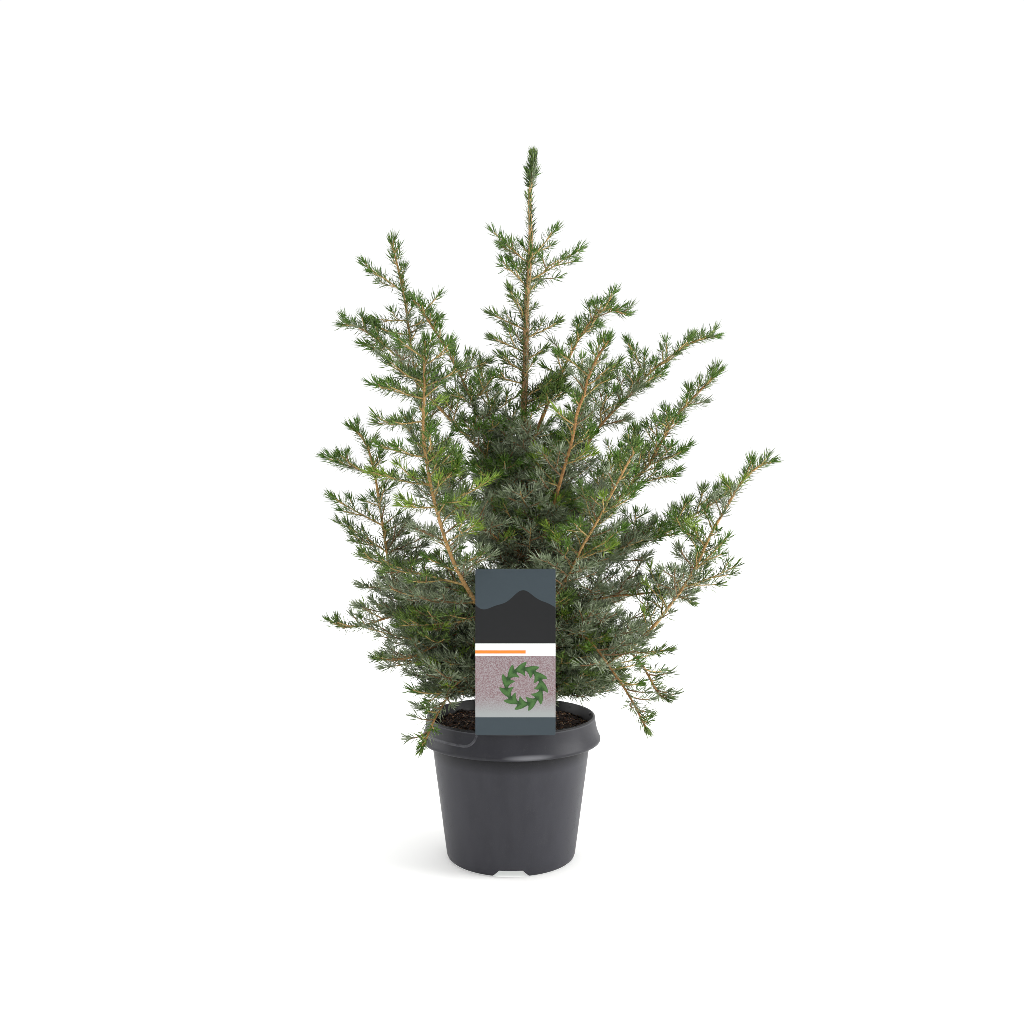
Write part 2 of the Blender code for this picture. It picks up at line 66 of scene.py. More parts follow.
# ---------- Pot ----------
# An injection-moulded polypropylene container, dark grey, with a collar that flares out to a rolled
# lip, three drain notches through its foot ring and a shallow outlined grip on two sides of the collar.
LIP_RADIUS, _, RIM_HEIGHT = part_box("pot")[1]
FOOT_RADIUS = 0.0818
WALL_SLOPE = 0.134  # how much the wall's radius grows for each metre of height
WALL = 0.002
RIM_RADIUS = 0.1078
BEAD = 0.0012
COLLAR_BOTTOM = 0.1475
LIP_ROLL = 0.0034
LIP_START = 27  # degrees above level at which the flare runs into the lip
LIP_END = -150  # the same, where the lip's roll ends under the collar
COLLAR_WALL = 0.0019
COLLAR_FLARE = 0.5  # how much of the collar's flare comes in its lower part
COLLAR_START = 0.003  # how far below the rim the flare begins
COLLAR_INSIDE = (0.157, 0.163, 0.169)  # heights that the collar's inner face runs through
GROOVE_TOP = 0.1735  # the underside of the collar's fold, next to the wall
GROOVE_ROUND = 0.002
GROOVE_OUT = 0.0022  # from the wall to the middle of the groove's rounding
INNER_WALL = (0.020, 0.174)  # the straight stretch of the wall's inner face
OUTER_WALL_TOP = 0.170
FLOOR_TOP = 0.0115
FLOOR_CORNER = 0.004
FLOOR_UNDERSIDE = 0.009
FOOT_EDGE = 0.004
FOOT_RING = 0.008
FOOT_BEVEL = 0.0006
CENTRE_FOOT = 0.011
CENTRE_SPREAD = (0.001, 0.0004)  # how much wider the centre foot is at the floor and at its bevel
POT_SEGMENTS = 160
POT_CREASE = 38  # degrees
NOTCHES = 3
NOTCH_TOP = 0.0285
NOTCH_HEIGHT = 0.0085
NOTCH_SLANT = 45  # degrees
NOTCH_TOE = 0.0050  # radius of the rounded feet on either side of a notch
NOTCH_CORNER = 0.0015
CUTTER_RADII = (0.062, 0.1)
CUTTER_FOOT = -0.002
GRIP_CENTRES = {"left": -142, "right": 38}
GRIP_HALF_ANGLE = 30
GRIP_START = 0.0022  # how far below the rim the outline begins
GRIP_BOTTOM = 0.1610
GRIP_CORNER = 0.017
GRIP_LINE = 0.0030
GRIP_SIDES = 8
GRIP_STANDS = 0.0006  # how far the outline stands out of the collar
POT_GREY = (0.031, 0.031, 0.038)
POT_PALE = (0.039, 0.039, 0.047)
POT_PAINTED_SHADE = (0.0030, 0.0030, 0.0042)  # painted shade: under the lip, over the collar and inside the mouth
# Pale: the scuffs on the grip outlines, and also the painted highlights on the rim and the collar's front.
POT_SCUFF_AND_HIGHLIGHT = (0.150, 0.151, 0.163)
POT_DUST = (0.10, 0.095, 0.09)
POT_ROUGHNESS = 0.44
POT_GLOSS = 0.22
MOUTH_RADIUS = RIM_RADIUS - BEAD * 1.3
UNDER_LIP = LIP_RADIUS - 0.007  # the radius between the wall below the lip and the collar
LIP_SHADE = (0.020, 0.003)  # how far below the lip the wall's painted shadow starts and is full
LIP_SHADOW_STRENGTH = 0.95  # how strong that painted shadow is, towards the painted shade colour
# How far the whole collar is darkened: painted shade from the crown above it.
COLLAR_SHADE_SHARE = 0.32
# The rim's bead is lightened: a painted highlight.
RIM_HIGHLIGHT_SHARE = 0.65
RIM_HIGHLIGHT_BAND = (0.0042, 0.0010)  # how far below the rim its painted highlight starts and is full
DUSTINESS = 0.12
SHINE_MIDDLE = (0.021, 0.1515)  # a painted highlight low on the front of the collar: across and up
SHINE_SIZE = (0.034, 0.0042)


class Wire:
    """A value on its way through a material, which plain arithmetic adds nodes to."""

    def __init__(self, socket):
        self.socket = socket

    def node(self, kind, settings=(), inputs=(), out=0):
        """Any node: its type, its settings, and the values or wires of its sockets."""
        tree = self.socket.id_data
        made = tree.nodes.new("ShaderNode" + kind)
        for key, value in dict(settings).items():
            setattr(made, key, value)
        for key, value in dict(inputs).items():
            if isinstance(value, Wire):
                tree.links.new(value.socket, made.inputs[key])
            else:
                made.inputs[key].default_value = value
        return Wire(made.outputs[out])

    def maths(self, operation, first, second=0.0):
        return self.node("Math", {"operation": operation}, {0: first, 1: second})

    def __add__(self, other):
        return self.maths("ADD", self, other)

    def __radd__(self, other):
        return self.maths("ADD", other, self)

    def __sub__(self, other):
        return self.maths("SUBTRACT", self, other)

    def __rsub__(self, other):
        return self.maths("SUBTRACT", other, self)

    def __mul__(self, other):
        return self.maths("MULTIPLY", self, other)

    def __rmul__(self, other):
        return self.maths("MULTIPLY", other, self)

    def __truediv__(self, other):
        return self.maths("DIVIDE", self, other)

    def __pow__(self, other):
        return self.maths("POWER", self, other)

    def __lt__(self, other):
        return self.maths("LESS_THAN", self, other)

    def __gt__(self, other):
        return self.maths("GREATER_THAN", self, other)

    def __abs__(self):
        return self.maths("ABSOLUTE", self)

    def ramp(self, low, high, start=0.0, end=1.0):
        """start below low, end above high, and a straight change between them."""
        keys = {"Value": self, "From Min": low, "From Max": high, "To Min": start, "To Max": end}
        return self.node("MapRange", {}, keys)

    def tint(self, first, second):
        """The first colour where this value is 0 and the second where it is 1."""
        first, second = (c if isinstance(c, Wire) else (*c, 1.0) for c in (first, second))
        return self.node("Mix", {"data_type": "RGBA"}, {0: self, 6: first, 7: second}, out=2)

    def noise(self, size, detail=2.0, rough=0.5):
        """Clouds whose lumps measure about size, on a place."""
        keys = {"Vector": self, "Scale": 1.0 / size, "Detail": detail, "Roughness": rough}
        return self.node("TexNoise", {}, keys)

    def xyz(self):
        """The three parts of a place."""
        parts = self.node("SeparateXYZ", {}, {0: self}).socket.node
        return [Wire(output) for output in parts.outputs]

    def bump(self, depth):
        """A normal for a height of 0 to 1 that stands depth metres high."""
        return self.node("Bump", {}, {"Height": self, "Distance": depth, "Strength": 1.0})


def new_finish(name, roughness, specular=0.5):
    """A material, and the place on the object as a wire to work from."""
    made = bpy.data.materials.new(name)
    made.use_nodes = True
    shader = made.node_tree.nodes["Principled BSDF"]
    shader.inputs["Roughness"].default_value = roughness
    shader.inputs["Specular IOR Level"].default_value = specular
    spot = made.node_tree.nodes.new("ShaderNodeTexCoord").outputs["Object"]
    return made, Wire(spot)


def feed(finish, **wires):
    """Links wires to the shader's sockets, such as base_color, roughness or emission_color."""
    shader = finish.node_tree.nodes["Principled BSDF"]
    for name, wire in wires.items():
        socket = shader.inputs[name.replace("_", " ").title()]
        finish.node_tree.links.new(wire.socket, socket)


def linked(name, data):
    """An object of a mesh, lamp or camera, in the scene."""
    made = bpy.data.objects.new(name, data)
    bpy.context.scene.collection.objects.link(made)
    return made


def shown(name, mesh, finish, crease=0):
    """An object of one finish, smooth but for the edges sharper than crease degrees, if given."""
    mesh.materials.append(finish)
    mesh.shade_smooth()
    if crease:
        mesh.set_sharp_from_angle(angle=math.radians(crease))
    return linked(name, mesh)


def mesh_of(points, faces):
    mesh = bpy.data.meshes.new("skin")
    mesh.from_pydata(np.asarray(points, dtype=float).tolist(), [], faces)
    return mesh


def arc(centre, radius, start, end, steps):
    """Points on an arc between two angles in degrees."""
    angles = np.radians(np.linspace(start, end, steps + 1))
    return [(centre[0] + radius * math.cos(a), centre[1] + radius * math.sin(a)) for a in angles]


def swept(rings):
    """Triangles and quads of a skin over rings of equal length, closed with a fan at each end."""
    rings = np.asarray(rings, dtype=float)
    count, sides = rings.shape[:2]
    faces = []
    for i in range(count - 1):
        for j in range(sides):
            a, b = i * sides + j, i * sides + (j + 1) % sides
            faces.append((a, b, b + sides, a + sides))
    points = np.vstack([rings.reshape(-1, 3), rings[0].mean(axis=0), rings[-1].mean(axis=0)])
    foot, top, last = len(points) - 2, len(points) - 1, (count - 1) * sides
    for j in range(sides):
        k = (j + 1) % sides
        faces.append((foot, k, j))
        faces.append((top, last + j, last + k))
    return mesh_of(points, faces)


def wall_radius(z):
    return FOOT_RADIUS + WALL_SLOPE * z


def collar_radius(z):
    """The collar's outer face: a slow flare from the rim that quickens towards the lip."""
    high = RIM_HEIGHT - BEAD
    low = COLLAR_BOTTOM + LIP_ROLL * (1.0 + math.sin(math.radians(LIP_START)))
    at_lip = LIP_RADIUS - LIP_ROLL * (1.0 - math.cos(math.radians(LIP_START)))
    drop = (high - z) / (high - low)
    return RIM_RADIUS + (at_lip - RIM_RADIUS) * ((1.0 - COLLAR_FLARE) * drop + COLLAR_FLARE * drop ** 3)


def pot_profile():
    """Radius and height, from the middle of the floor up the inside and down the outside."""
    inner_foot = wall_radius(FLOOR_TOP) - WALL
    lip_centre = (LIP_RADIUS - LIP_ROLL, COLLAR_BOTTOM + LIP_ROLL)
    lip_top = lip_centre[1] + LIP_ROLL * math.sin(math.radians(LIP_START))
    groove = (wall_radius(GROOVE_TOP) + GROOVE_OUT, GROOVE_TOP - GROOVE_ROUND)
    ring = FOOT_RADIUS - FOOT_RING
    profile = arc((inner_foot - FLOOR_CORNER, FLOOR_TOP + FLOOR_CORNER), FLOOR_CORNER, -90, 0, 5)
    profile += [(wall_radius(z) - WALL, z) for z in np.linspace(*INNER_WALL, 12)]
    profile += arc((RIM_RADIUS - BEAD, RIM_HEIGHT - BEAD), BEAD, 180, 0, 8)
    profile += [(collar_radius(z), z) for z in np.linspace(RIM_HEIGHT - COLLAR_START, lip_top, 16)[:-1]]
    profile += arc(lip_centre, LIP_ROLL, LIP_START, LIP_END, 10)
    profile += [(collar_radius(z) - COLLAR_WALL, z) for z in COLLAR_INSIDE]
    profile += arc(groove, GROOVE_ROUND, 60, 180, 4)
    profile += [(wall_radius(z), z) for z in np.linspace(OUTER_WALL_TOP, FOOT_EDGE + 0.001, 24)]
    profile += arc((FOOT_RADIUS - FOOT_EDGE, FOOT_EDGE), FOOT_EDGE, -8, -90, 6)
    profile += [(ring + FOOT_BEVEL, 0.0), (ring, FOOT_BEVEL)]
    profile += [(ring, FLOOR_UNDERSIDE), (CENTRE_FOOT + CENTRE_SPREAD[0], FLOOR_UNDERSIDE)]
    profile += [(CENTRE_FOOT + CENTRE_SPREAD[1], FOOT_BEVEL), (CENTRE_FOOT - FOOT_BEVEL, 0.0)]
    return profile


def turned(profile, segments):
    """Rings of a profile turned round the pot's axis."""
    angles = np.radians(np.arange(segments) * 360.0 / segments)
    circle = np.stack([np.cos(angles), np.sin(angles)], axis=1)
    return [np.hstack([circle * radius, np.full((segments, 1), z)]) for radius, z in profile]


def notch_outline():
    """Half width and height up one side of a notch: a rounded foot, a slant and a tight top corner."""
    side = NOTCH_TOP / 2
    turn = math.tan(math.radians(NOTCH_SLANT / 2))
    toe = (side + NOTCH_HEIGHT + NOTCH_TOE * turn, NOTCH_TOE)
    top = (side - NOTCH_CORNER * turn, NOTCH_HEIGHT - NOTCH_CORNER)
    foot = arc(toe, NOTCH_TOE, -90, -90 - NOTCH_SLANT, 6)
    return [(toe[0], CUTTER_FOOT)] + foot + arc(top, NOTCH_CORNER, 90 - NOTCH_SLANT, 90, 4)


def notch_cutter(heading):
    """A bar with a notch's outline that lies out from the pot's axis through its foot ring."""
    half = notch_outline()
    outline = half + [(-x, z) for x, z in reversed(half)]
    cos, sin = math.cos(math.radians(heading)), math.sin(math.radians(heading))
    rings = [[(cos * r - sin * x, sin * r + cos * x, z) for x, z in outline] for r in CUTTER_RADII]
    return linked("notch_cutter", swept(rings))


pot_plastic, place = new_finish("pot_plastic", POT_ROUGHNESS, POT_GLOSS)
x, y, z = place.xyz()
out = (x * x + y * y) ** 0.5
shaded_mouth = (out < MOUTH_RADIUS) * (z > COLLAR_BOTTOM)
painted_lip_shadow = z.ramp(COLLAR_BOTTOM - LIP_SHADE[0], COLLAR_BOTTOM - LIP_SHADE[1]) * (out < UNDER_LIP)
rim_highlight = z.ramp(RIM_HEIGHT - RIM_HIGHLIGHT_BAND[0], RIM_HEIGHT - RIM_HIGHLIGHT_BAND[1])
aside = (x - SHINE_MIDDLE[0]) / SHINE_SIZE[0]
above = (z - SHINE_MIDDLE[1]) / SHINE_SIZE[1]
painted_gloss = (aside * aside + above * above).ramp(0.0, 1.0, 1.0, 0.0) * (y < 0.0) * (out > UNDER_LIP)
flow = place.node("Mapping", {}, {"Vector": place, "Scale": (1.0, 1.0, 0.35)}).noise(0.020, detail=3.0)
grain = place.noise(0.0009)
dust = (place.noise(0.012, detail=5.0, rough=0.65) * place.noise(0.0016)).ramp(0.30, 0.46)
grey = flow.ramp(0.35, 0.7).tint(POT_GREY, POT_PALE)
# Painted shade: the collar is darkened, as if shaded by the crown.
grey = ((z > COLLAR_BOTTOM - 0.001) * COLLAR_SHADE_SHARE).tint(grey, POT_PAINTED_SHADE)
# Painted highlights: the rim's bead and a glossy patch low on the collar's front are lightened.
grey = (rim_highlight * RIM_HIGHLIGHT_SHARE + painted_gloss ** 1.5).tint(grey, POT_SCUFF_AND_HIGHLIGHT)
# Painted shadow: the wall just under the lip is darkened where the lip would shade it.
grey = (painted_lip_shadow * LIP_SHADOW_STRENGTH).tint(grey, POT_PAINTED_SHADE)
# Inside the mouth the wall takes the painted shade colour: painted shade, and the grime of damp soil. Dust
# goes only on the outside.
grey = shaded_mouth.tint((dust * DUSTINESS).tint(grey, POT_DUST), POT_PAINTED_SHADE)
feed(
    pot_plastic,
    base_color=grey,
    roughness=flow.ramp(0.3, 0.7, POT_ROUGHNESS - 0.06, POT_ROUGHNESS + 0.06) + dust * 0.2,
    normal=(grain + flow * 0.6).bump(0.00005),
)
pot_ridge, place = new_finish("pot_ridge", POT_ROUGHNESS, POT_GLOSS)
scuffs = place.noise(0.004, detail=4.0)
feed(
    pot_ridge,
    base_color=scuffs.ramp(0.3, 0.7, 0.0, 0.45).tint(POT_PALE, POT_SCUFF_AND_HIGHLIGHT),
    roughness=scuffs.ramp(0.3, 0.7, 0.34, 0.5),
)

blank = linked("pot_blank", swept(turned(pot_profile(), POT_SEGMENTS)))
cutters = [notch_cutter(-90 + 360 * number / NOTCHES) for number in range(NOTCHES)]
for cutter in cutters:
    drain = blank.modifiers.new("drain notch", "BOOLEAN")
    drain.operation = "DIFFERENCE"
    drain.solver = "EXACT"
    drain.object = cutter
bpy.context.view_layer.update()
notched = bpy.data.meshes.new_from_object(blank.evaluated_get(bpy.context.evaluated_depsgraph_get()))
for used in [blank] + cutters:
    bpy.data.objects.remove(used, do_unlink=True)
pot = shown("pot_shell", notched, pot_plastic, POT_CREASE)
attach(pot, "root")
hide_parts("pot")


def unit(vectors):
    return vectors / np.linalg.norm(vectors, axis=-1, keepdims=True)


def tube_rings(line, radii, sides):
    """Round rings along a line of points, kept from twisting by one steady sideways direction."""
    line = np.asarray(line, dtype=float)
    along = unit(np.gradient(line, axis=0))
    steady = np.eye(3)[np.abs(along.mean(axis=0)).argmin()]
    side = unit(np.cross(along, steady))[:, None]
    other = np.cross(along, side[:, 0])[:, None]
    angles = (np.arange(sides) * math.tau / sides)[None, :, None]
    radii = np.broadcast_to(np.asarray(radii, dtype=float), len(line))
    spokes = np.cos(angles) * side + np.sin(angles) * other
    return line[:, None] + spokes * radii[:, None, None]


def grip_line(centre):
    """The outline of one grip: down from the rim, round a wide corner, along and up again."""
    half = math.radians(GRIP_HALF_ANGLE) * LIP_RADIUS
    corner = (half - GRIP_CORNER, GRIP_BOTTOM + GRIP_CORNER)
    right = [(half, RIM_HEIGHT - GRIP_START)] + arc(corner, GRIP_CORNER, 0, -90, 14)
    flat = [(x, GRIP_BOTTOM) for x in np.linspace(corner[0], -corner[0], 12)[1:-1]]
    outline = right + flat + [(-x, z) for x, z in reversed(right)]
    line = []
    for run, z in outline:
        angle = math.radians(centre) + run / LIP_RADIUS
        radius = collar_radius(z) + GRIP_STANDS - GRIP_LINE
        line.append((radius * math.cos(angle), radius * math.sin(angle), z))
    return line


for side, centre in GRIP_CENTRES.items():
    ridge = swept(tube_rings(grip_line(centre), GRIP_LINE, GRIP_SIDES))
    grip = shown(f"pot_grip_{side}", ridge, pot_ridge)
    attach(grip, "root")


# ---------- Soil ----------
# Composted bark and peat, settled to a finger's breadth below the rim, with coarse chips lying on it.
SOIL_LEVEL = 0.1665
SOIL_EDGE = 0.168  # the height at which the soil meets the wall
SOIL_GAP = 0.0006
SOIL_RADIUS = wall_radius(SOIL_EDGE) - WALL - SOIL_GAP
SOIL_DEPTH = 0.020
SOIL_RELIEF = 0.0022
SOIL_WAVES = (  # size, turn and shift in radians, and share of the relief
    (0.060, 0.4, 1.0, 0.8), (0.026, 1.5, 4.0, 0.5), (0.011, 2.6, 2.2, 0.35),
    (0.0052, 0.9, 5.1, 0.22), (0.0024, 2.0, 0.3, 0.12),
)
SOIL_CIRCLES = 44
SOIL_SPOKES = 120
SOIL_MOIST = (0.006, 0.004, 0.003)
SOIL_DRY = (0.040, 0.020, 0.012)
CHIP_KINDS = {
    "soil_chips_dark": (2600, (0.009, 0.0055, 0.004), (0.022, 0.013, 0.009)),
    "soil_chips_brown": (1500, (0.045, 0.018, 0.009), (0.100, 0.042, 0.020)),
    "soil_chips_pale": (620, (0.20, 0.11, 0.060), (0.42, 0.28, 0.18)),
}
CHIP_LENGTH = (0.0022, 0.0075)
CHIP_SIDES = 5
CHIP_WIDTH = (0.25, 0.6)  # of its length, as is its thickness
CHIP_THICKNESS = (0.10, 0.24)
CHIP_RAGGED = (0.65, 1.15)  # how unevenly its corners stand out
CHIP_TOP = 0.82  # how much smaller its upper face is
CHIP_TILT = 0.28  # radians
CHIP_LIFT = 0.0006


def soil_height(x, y):
    """Height of the soil over a place, made from a few waves that never repeat within the pot."""
    waves = 0.0
    for size, turn, shift, share in SOIL_WAVES:
        u = (x * math.cos(turn) + y * math.sin(turn)) / size * math.tau
        v = (y * math.cos(turn) - x * math.sin(turn)) / size * math.tau
        waves = waves + share * np.sin(u + shift + 1.3 * np.sin(v * 0.71)) * np.cos(v * 0.83 + shift)
    return SOIL_LEVEL + SOIL_RELIEF * waves


soil_crumb, place = new_finish("soil_crumb", 0.95, 0.2)
crumb = place.noise(0.0016, detail=6.0, rough=0.7)
feed(
    soil_crumb,
    base_color=crumb.ramp(0.40, 0.68).tint(SOIL_MOIST, SOIL_DRY),
    normal=crumb.bump(0.0008),
)
turns = np.arange(SOIL_SPOKES) * math.tau / SOIL_SPOKES
soil_rings = []
for radius in np.linspace(0.002, SOIL_RADIUS, SOIL_CIRCLES):
    ring_x, ring_y = radius * np.cos(turns), radius * np.sin(turns)
    soil_rings.append(np.stack([ring_x, ring_y, soil_height(ring_x, ring_y)], axis=1))
skirt = soil_rings[-1].copy()
skirt[:, :2] *= (SOIL_RADIUS - WALL_SLOPE * SOIL_DEPTH) / SOIL_RADIUS
skirt[:, 2] = SOIL_LEVEL - SOIL_DEPTH
soil_skin = swept(soil_rings + [skirt])
soil_skin.flip_normals()
soil = shown("soil_bed", soil_skin, soil_crumb)
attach(soil, "root")
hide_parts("soil")


def chips(rng, count):
    """Splinters of bark as little five-sided wedges, strewn flat or tilted over the soil."""
    radius = SOIL_RADIUS * np.sqrt(rng.random(count)) - 0.001
    turn = rng.random(count) * math.tau
    centre = np.stack([radius * np.cos(turn), radius * np.sin(turn)], axis=1)
    height = soil_height(centre[:, 0], centre[:, 1])
    length = rng.uniform(*CHIP_LENGTH, count) * (0.45 + 0.55 * rng.random(count))
    heading = rng.random(count) * math.tau
    tilt = rng.normal(0.0, CHIP_TILT, count)
    along = np.stack([np.cos(heading) * np.cos(tilt), np.sin(heading) * np.cos(tilt), np.sin(tilt)], axis=1)
    across = np.stack([-np.sin(heading), np.cos(heading), rng.normal(0.0, 0.2, count)], axis=1)
    over = np.cross(along, across)
    angles = (np.arange(CHIP_SIDES) * math.tau / CHIP_SIDES)[None, :, None]
    outline = rng.uniform(*CHIP_RAGGED, (count, CHIP_SIDES, 1))
    wide = rng.uniform(*CHIP_WIDTH, (count, 1, 1))
    rim = np.cos(angles) * along[:, None] + wide * np.sin(angles) * across[:, None]
    rim = rim * outline * length[:, None, None] / 2
    thick = (length * rng.uniform(*CHIP_THICKNESS, count))[:, None, None] * over[:, None]
    middle = np.concatenate([centre, height[:, None] + CHIP_LIFT], axis=1)[:, None]
    points = np.concatenate([middle + rim - thick / 2, middle + rim * CHIP_TOP + thick / 2], axis=1)
    faces = []
    for j in range(CHIP_SIDES):
        k = (j + 1) % CHIP_SIDES
        faces += [(j, k, k + CHIP_SIDES), (j, k + CHIP_SIDES, j + CHIP_SIDES)]
    for j in range(1, CHIP_SIDES - 1):
        faces += [(0, j + 1, j), (CHIP_SIDES, CHIP_SIDES + j, CHIP_SIDES + j + 1)]
    starts = np.arange(count)[:, None, None] * 2 * CHIP_SIDES
    return mesh_of(points.reshape(-1, 3), (np.array(faces)[None] + starts).reshape(-1, 3).tolist())


for number, (name, (count, dark, pale)) in enumerate(CHIP_KINDS.items()):
    chip_bark, place = new_finish(name, 0.88, 0.25)
    fibre = place.noise(0.0011, detail=4.0, rough=0.7)
    feed(chip_bark, base_color=fibre.ramp(0.35, 0.68).tint(dark, pale), normal=fibre.bump(0.0002))
    scatter = shown(name, chips(np.random.default_rng(40 + number), count), chip_bark, crease=30)
    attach(scatter, "root")


# ---------- Label ----------
# A printed plastic card on a bent strip that is pushed into the soil and hooks over the rim. Its
# print is plain: a slate and charcoal ground, a white band with an orange rule, and a leafy ring.
CARD_LOW, CARD_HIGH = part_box("label_card")
CARD_CENTRE = (CARD_LOW[0] + CARD_HIGH[0]) / 2
CARD_HALF = (CARD_HIGH[0] - CARD_LOW[0]) / 2
CARD_TALL = CARD_HIGH[2] - CARD_LOW[2]
CARD_CORNER = 0.0022
CARD_BEVEL = 0.00016
SLATE = (0.045, 0.061, 0.072)
CHARCOAL = (0.0134, 0.0140, 0.0150)
WHITE = (0.86, 0.87, 0.87)
ORANGE = (0.83, 0.24, 0.035)
STONE = (0.36, 0.335, 0.345)
ROSE = (0.21, 0.115, 0.125)
MIST = (0.34, 0.36, 0.36)
LEAF = (0.018, 0.050, 0.014)
LEAF_PALE = (0.070, 0.16, 0.045)
# Heights and distances in the print are measured from the card's lower edge and its middle.
HILL_TOP = 0.158
HILL_WAVES = ((75.0, 0.8, 0.010), (190.0, 0.0, 0.002))  # radians a metre, shift and height
BAND_FOOT = 0.093
BAND_TOP = 0.1075
RULE_MIDDLE = BAND_FOOT + 0.0046
RULE_HALF = 0.0019
RULE_END = 0.012
PANEL_FOOT = 0.021
MIST_DEPTH = (0.046, 0.025)  # the heights between which the panel turns into mist
GRAIN = 0.0013
WREATH_MIDDLE = (0.010, 0.057)
WREATH_RADIUS = 0.0205
WREATH_LEAVES = 11
LEAF_THICK = 0.0022  # half the wreath's thickness between its leaves
LEAF_REACH = 0.0062  # how much further the leaves stand out
LEAF_SWEEP = 480.0  # how far the leaves lean round the ring as they stand out, in radians a metre

card_print, place = new_finish("card_print", 0.36, 0.2)
across, _, height = place.xyz()
across = across - CARD_CENTRE
height = height - CARD_LOW[2]
hills = HILL_TOP
for rate, shift, rise in HILL_WAVES:
    hills = hills + across.maths("SINE", across * rate + shift) * rise
grain = place.noise(GRAIN, detail=3.0, rough=0.7)
panel = grain.ramp(0.36, 0.64).tint(ROSE, STONE)
panel = height.ramp(*MIST_DEPTH).tint(panel, MIST)
aside = across - WREATH_MIDDLE[0]
above = height - WREATH_MIDDLE[1]
off_ring = abs((aside * aside + above * above) ** 0.5 - WREATH_RADIUS)
bearing = across.maths("ARCTAN2", above, aside)
leaves = across.maths("SINE", bearing * WREATH_LEAVES + off_ring * LEAF_SWEEP) * 0.5 + 0.5
leafy = (LEAF_THICK + leaves * LEAF_REACH) > off_ring
leaf_green = (grain * 0.7 + leaves * 0.4).ramp(0.30, 0.80).tint(LEAF, LEAF_PALE)
printed = (height > PANEL_FOOT).tint(SLATE, leafy.tint(panel, leaf_green))
printed = (height > BAND_FOOT).tint(printed, WHITE)
rule = (abs(height - RULE_MIDDLE) < RULE_HALF) * (across < RULE_END)
printed = rule.tint(printed, ORANGE)
printed = (height > BAND_TOP).tint(printed, (hills > height).tint(SLATE, CHARCOAL))
feed(
    card_print,
    base_color=printed,
    roughness=place.noise(0.03, detail=3.0).ramp(0.3, 0.7, 0.30, 0.42),
    normal=place.noise(0.0012, detail=1.0).bump(0.000015),
)


def card_ring(inset, y):
    """The card's rounded outline, drawn in by inset, at one depth."""
    half_x, half_z, corner = CARD_HALF - inset, CARD_TALL / 2 - inset, CARD_CORNER - inset
    middle = CARD_LOW[2] + CARD_TALL / 2
    outline = []
    for start, sign_x, sign_z in ((0, 1, 1), (90, -1, 1), (180, -1, -1), (270, 1, -1)):
        centre = (sign_x * (half_x - corner), middle + sign_z * (half_z - corner))
        outline += arc(centre, corner, start, start + 90, 6)
    return [(CARD_CENTRE + x, y, z) for x, z in outline]


front, back = CARD_LOW[1], CARD_HIGH[1]
card_skin = swept([
    card_ring(CARD_BEVEL, front), card_ring(0.0, front + CARD_BEVEL),
    card_ring(0.0, back - CARD_BEVEL), card_ring(CARD_BEVEL, back),
])
card_skin.flip_normals()
card = shown("label_print", card_skin, card_print, crease=30)
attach(card, "root")
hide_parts("label_card")

STAKE_LOW, STAKE_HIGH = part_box("label_stake")
STAKE_HALF = (STAKE_HIGH[0] - STAKE_LOW[0]) / 2
STAKE_THICK = 0.0014
STAKE_LEG_TOP = 0.18
STAKE_BRIDGE = 0.1865  # the height of the strip's underside where it crosses the rim
STAKE_BEND = 0.0035
STAKE_POINT = 0.016
STAKE_TIP = 0.15  # the point's width as a part of the strip's
STAKE_EDGE = (0.92, 0.6)  # where its bevels start, as parts of its half width and half thickness
STAKE_PLASTIC = (0.42, 0.42, 0.41)
STAKE_SCUFF = (0.29, 0.28, 0.26)

stake_plastic, place = new_finish("stake_plastic", 0.45)
scuff = place.noise(0.006, detail=5.0, rough=0.7)
feed(
    stake_plastic,
    base_color=scuff.ramp(0.4, 0.75).tint(STAKE_PLASTIC, STAKE_SCUFF),
    roughness=scuff.ramp(0.3, 0.7, 0.38, 0.55),
    normal=scuff.bump(0.00004),
)
leg_y = STAKE_HIGH[1] - STAKE_THICK / 2
card_y = STAKE_LOW[1] + STAKE_THICK / 2
bridge_z = STAKE_BRIDGE + STAKE_THICK / 2
stake_line = [(leg_y, z) for z in np.linspace(STAKE_LOW[2], STAKE_LEG_TOP, 14)]
stake_line += arc((leg_y - STAKE_BEND, bridge_z - STAKE_BEND), STAKE_BEND, 0, 90, 5)
stake_line += arc((card_y + STAKE_BEND, bridge_z + STAKE_BEND), STAKE_BEND, -90, -180, 5)
stake_line += [(card_y, z) for z in np.linspace(bridge_z + STAKE_BEND + 0.002, STAKE_HIGH[2], 8)]
inset, thin = STAKE_EDGE
half_section = ((-1, thin), (-inset, 1), (inset, 1), (1, thin))
section = half_section + tuple((side, -depth) for side, depth in reversed(half_section))
stake_rings = []
for (y, z), (run_y, run_z) in zip(stake_line, unit(np.gradient(np.array(stake_line), axis=0))):
    half = min(1.0, STAKE_TIP + (z - STAKE_LOW[2]) / STAKE_POINT) * STAKE_HALF
    ring = []
    for side, depth in section:
        shift = depth * STAKE_THICK / 2
        ring.append((CARD_CENTRE + side * half, y - run_z * shift, z + run_y * shift))
    stake_rings.append(ring)
stake = shown("label_strip", swept(stake_rings), stake_plastic, crease=35)
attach(stake, "root")
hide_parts("label_stake")


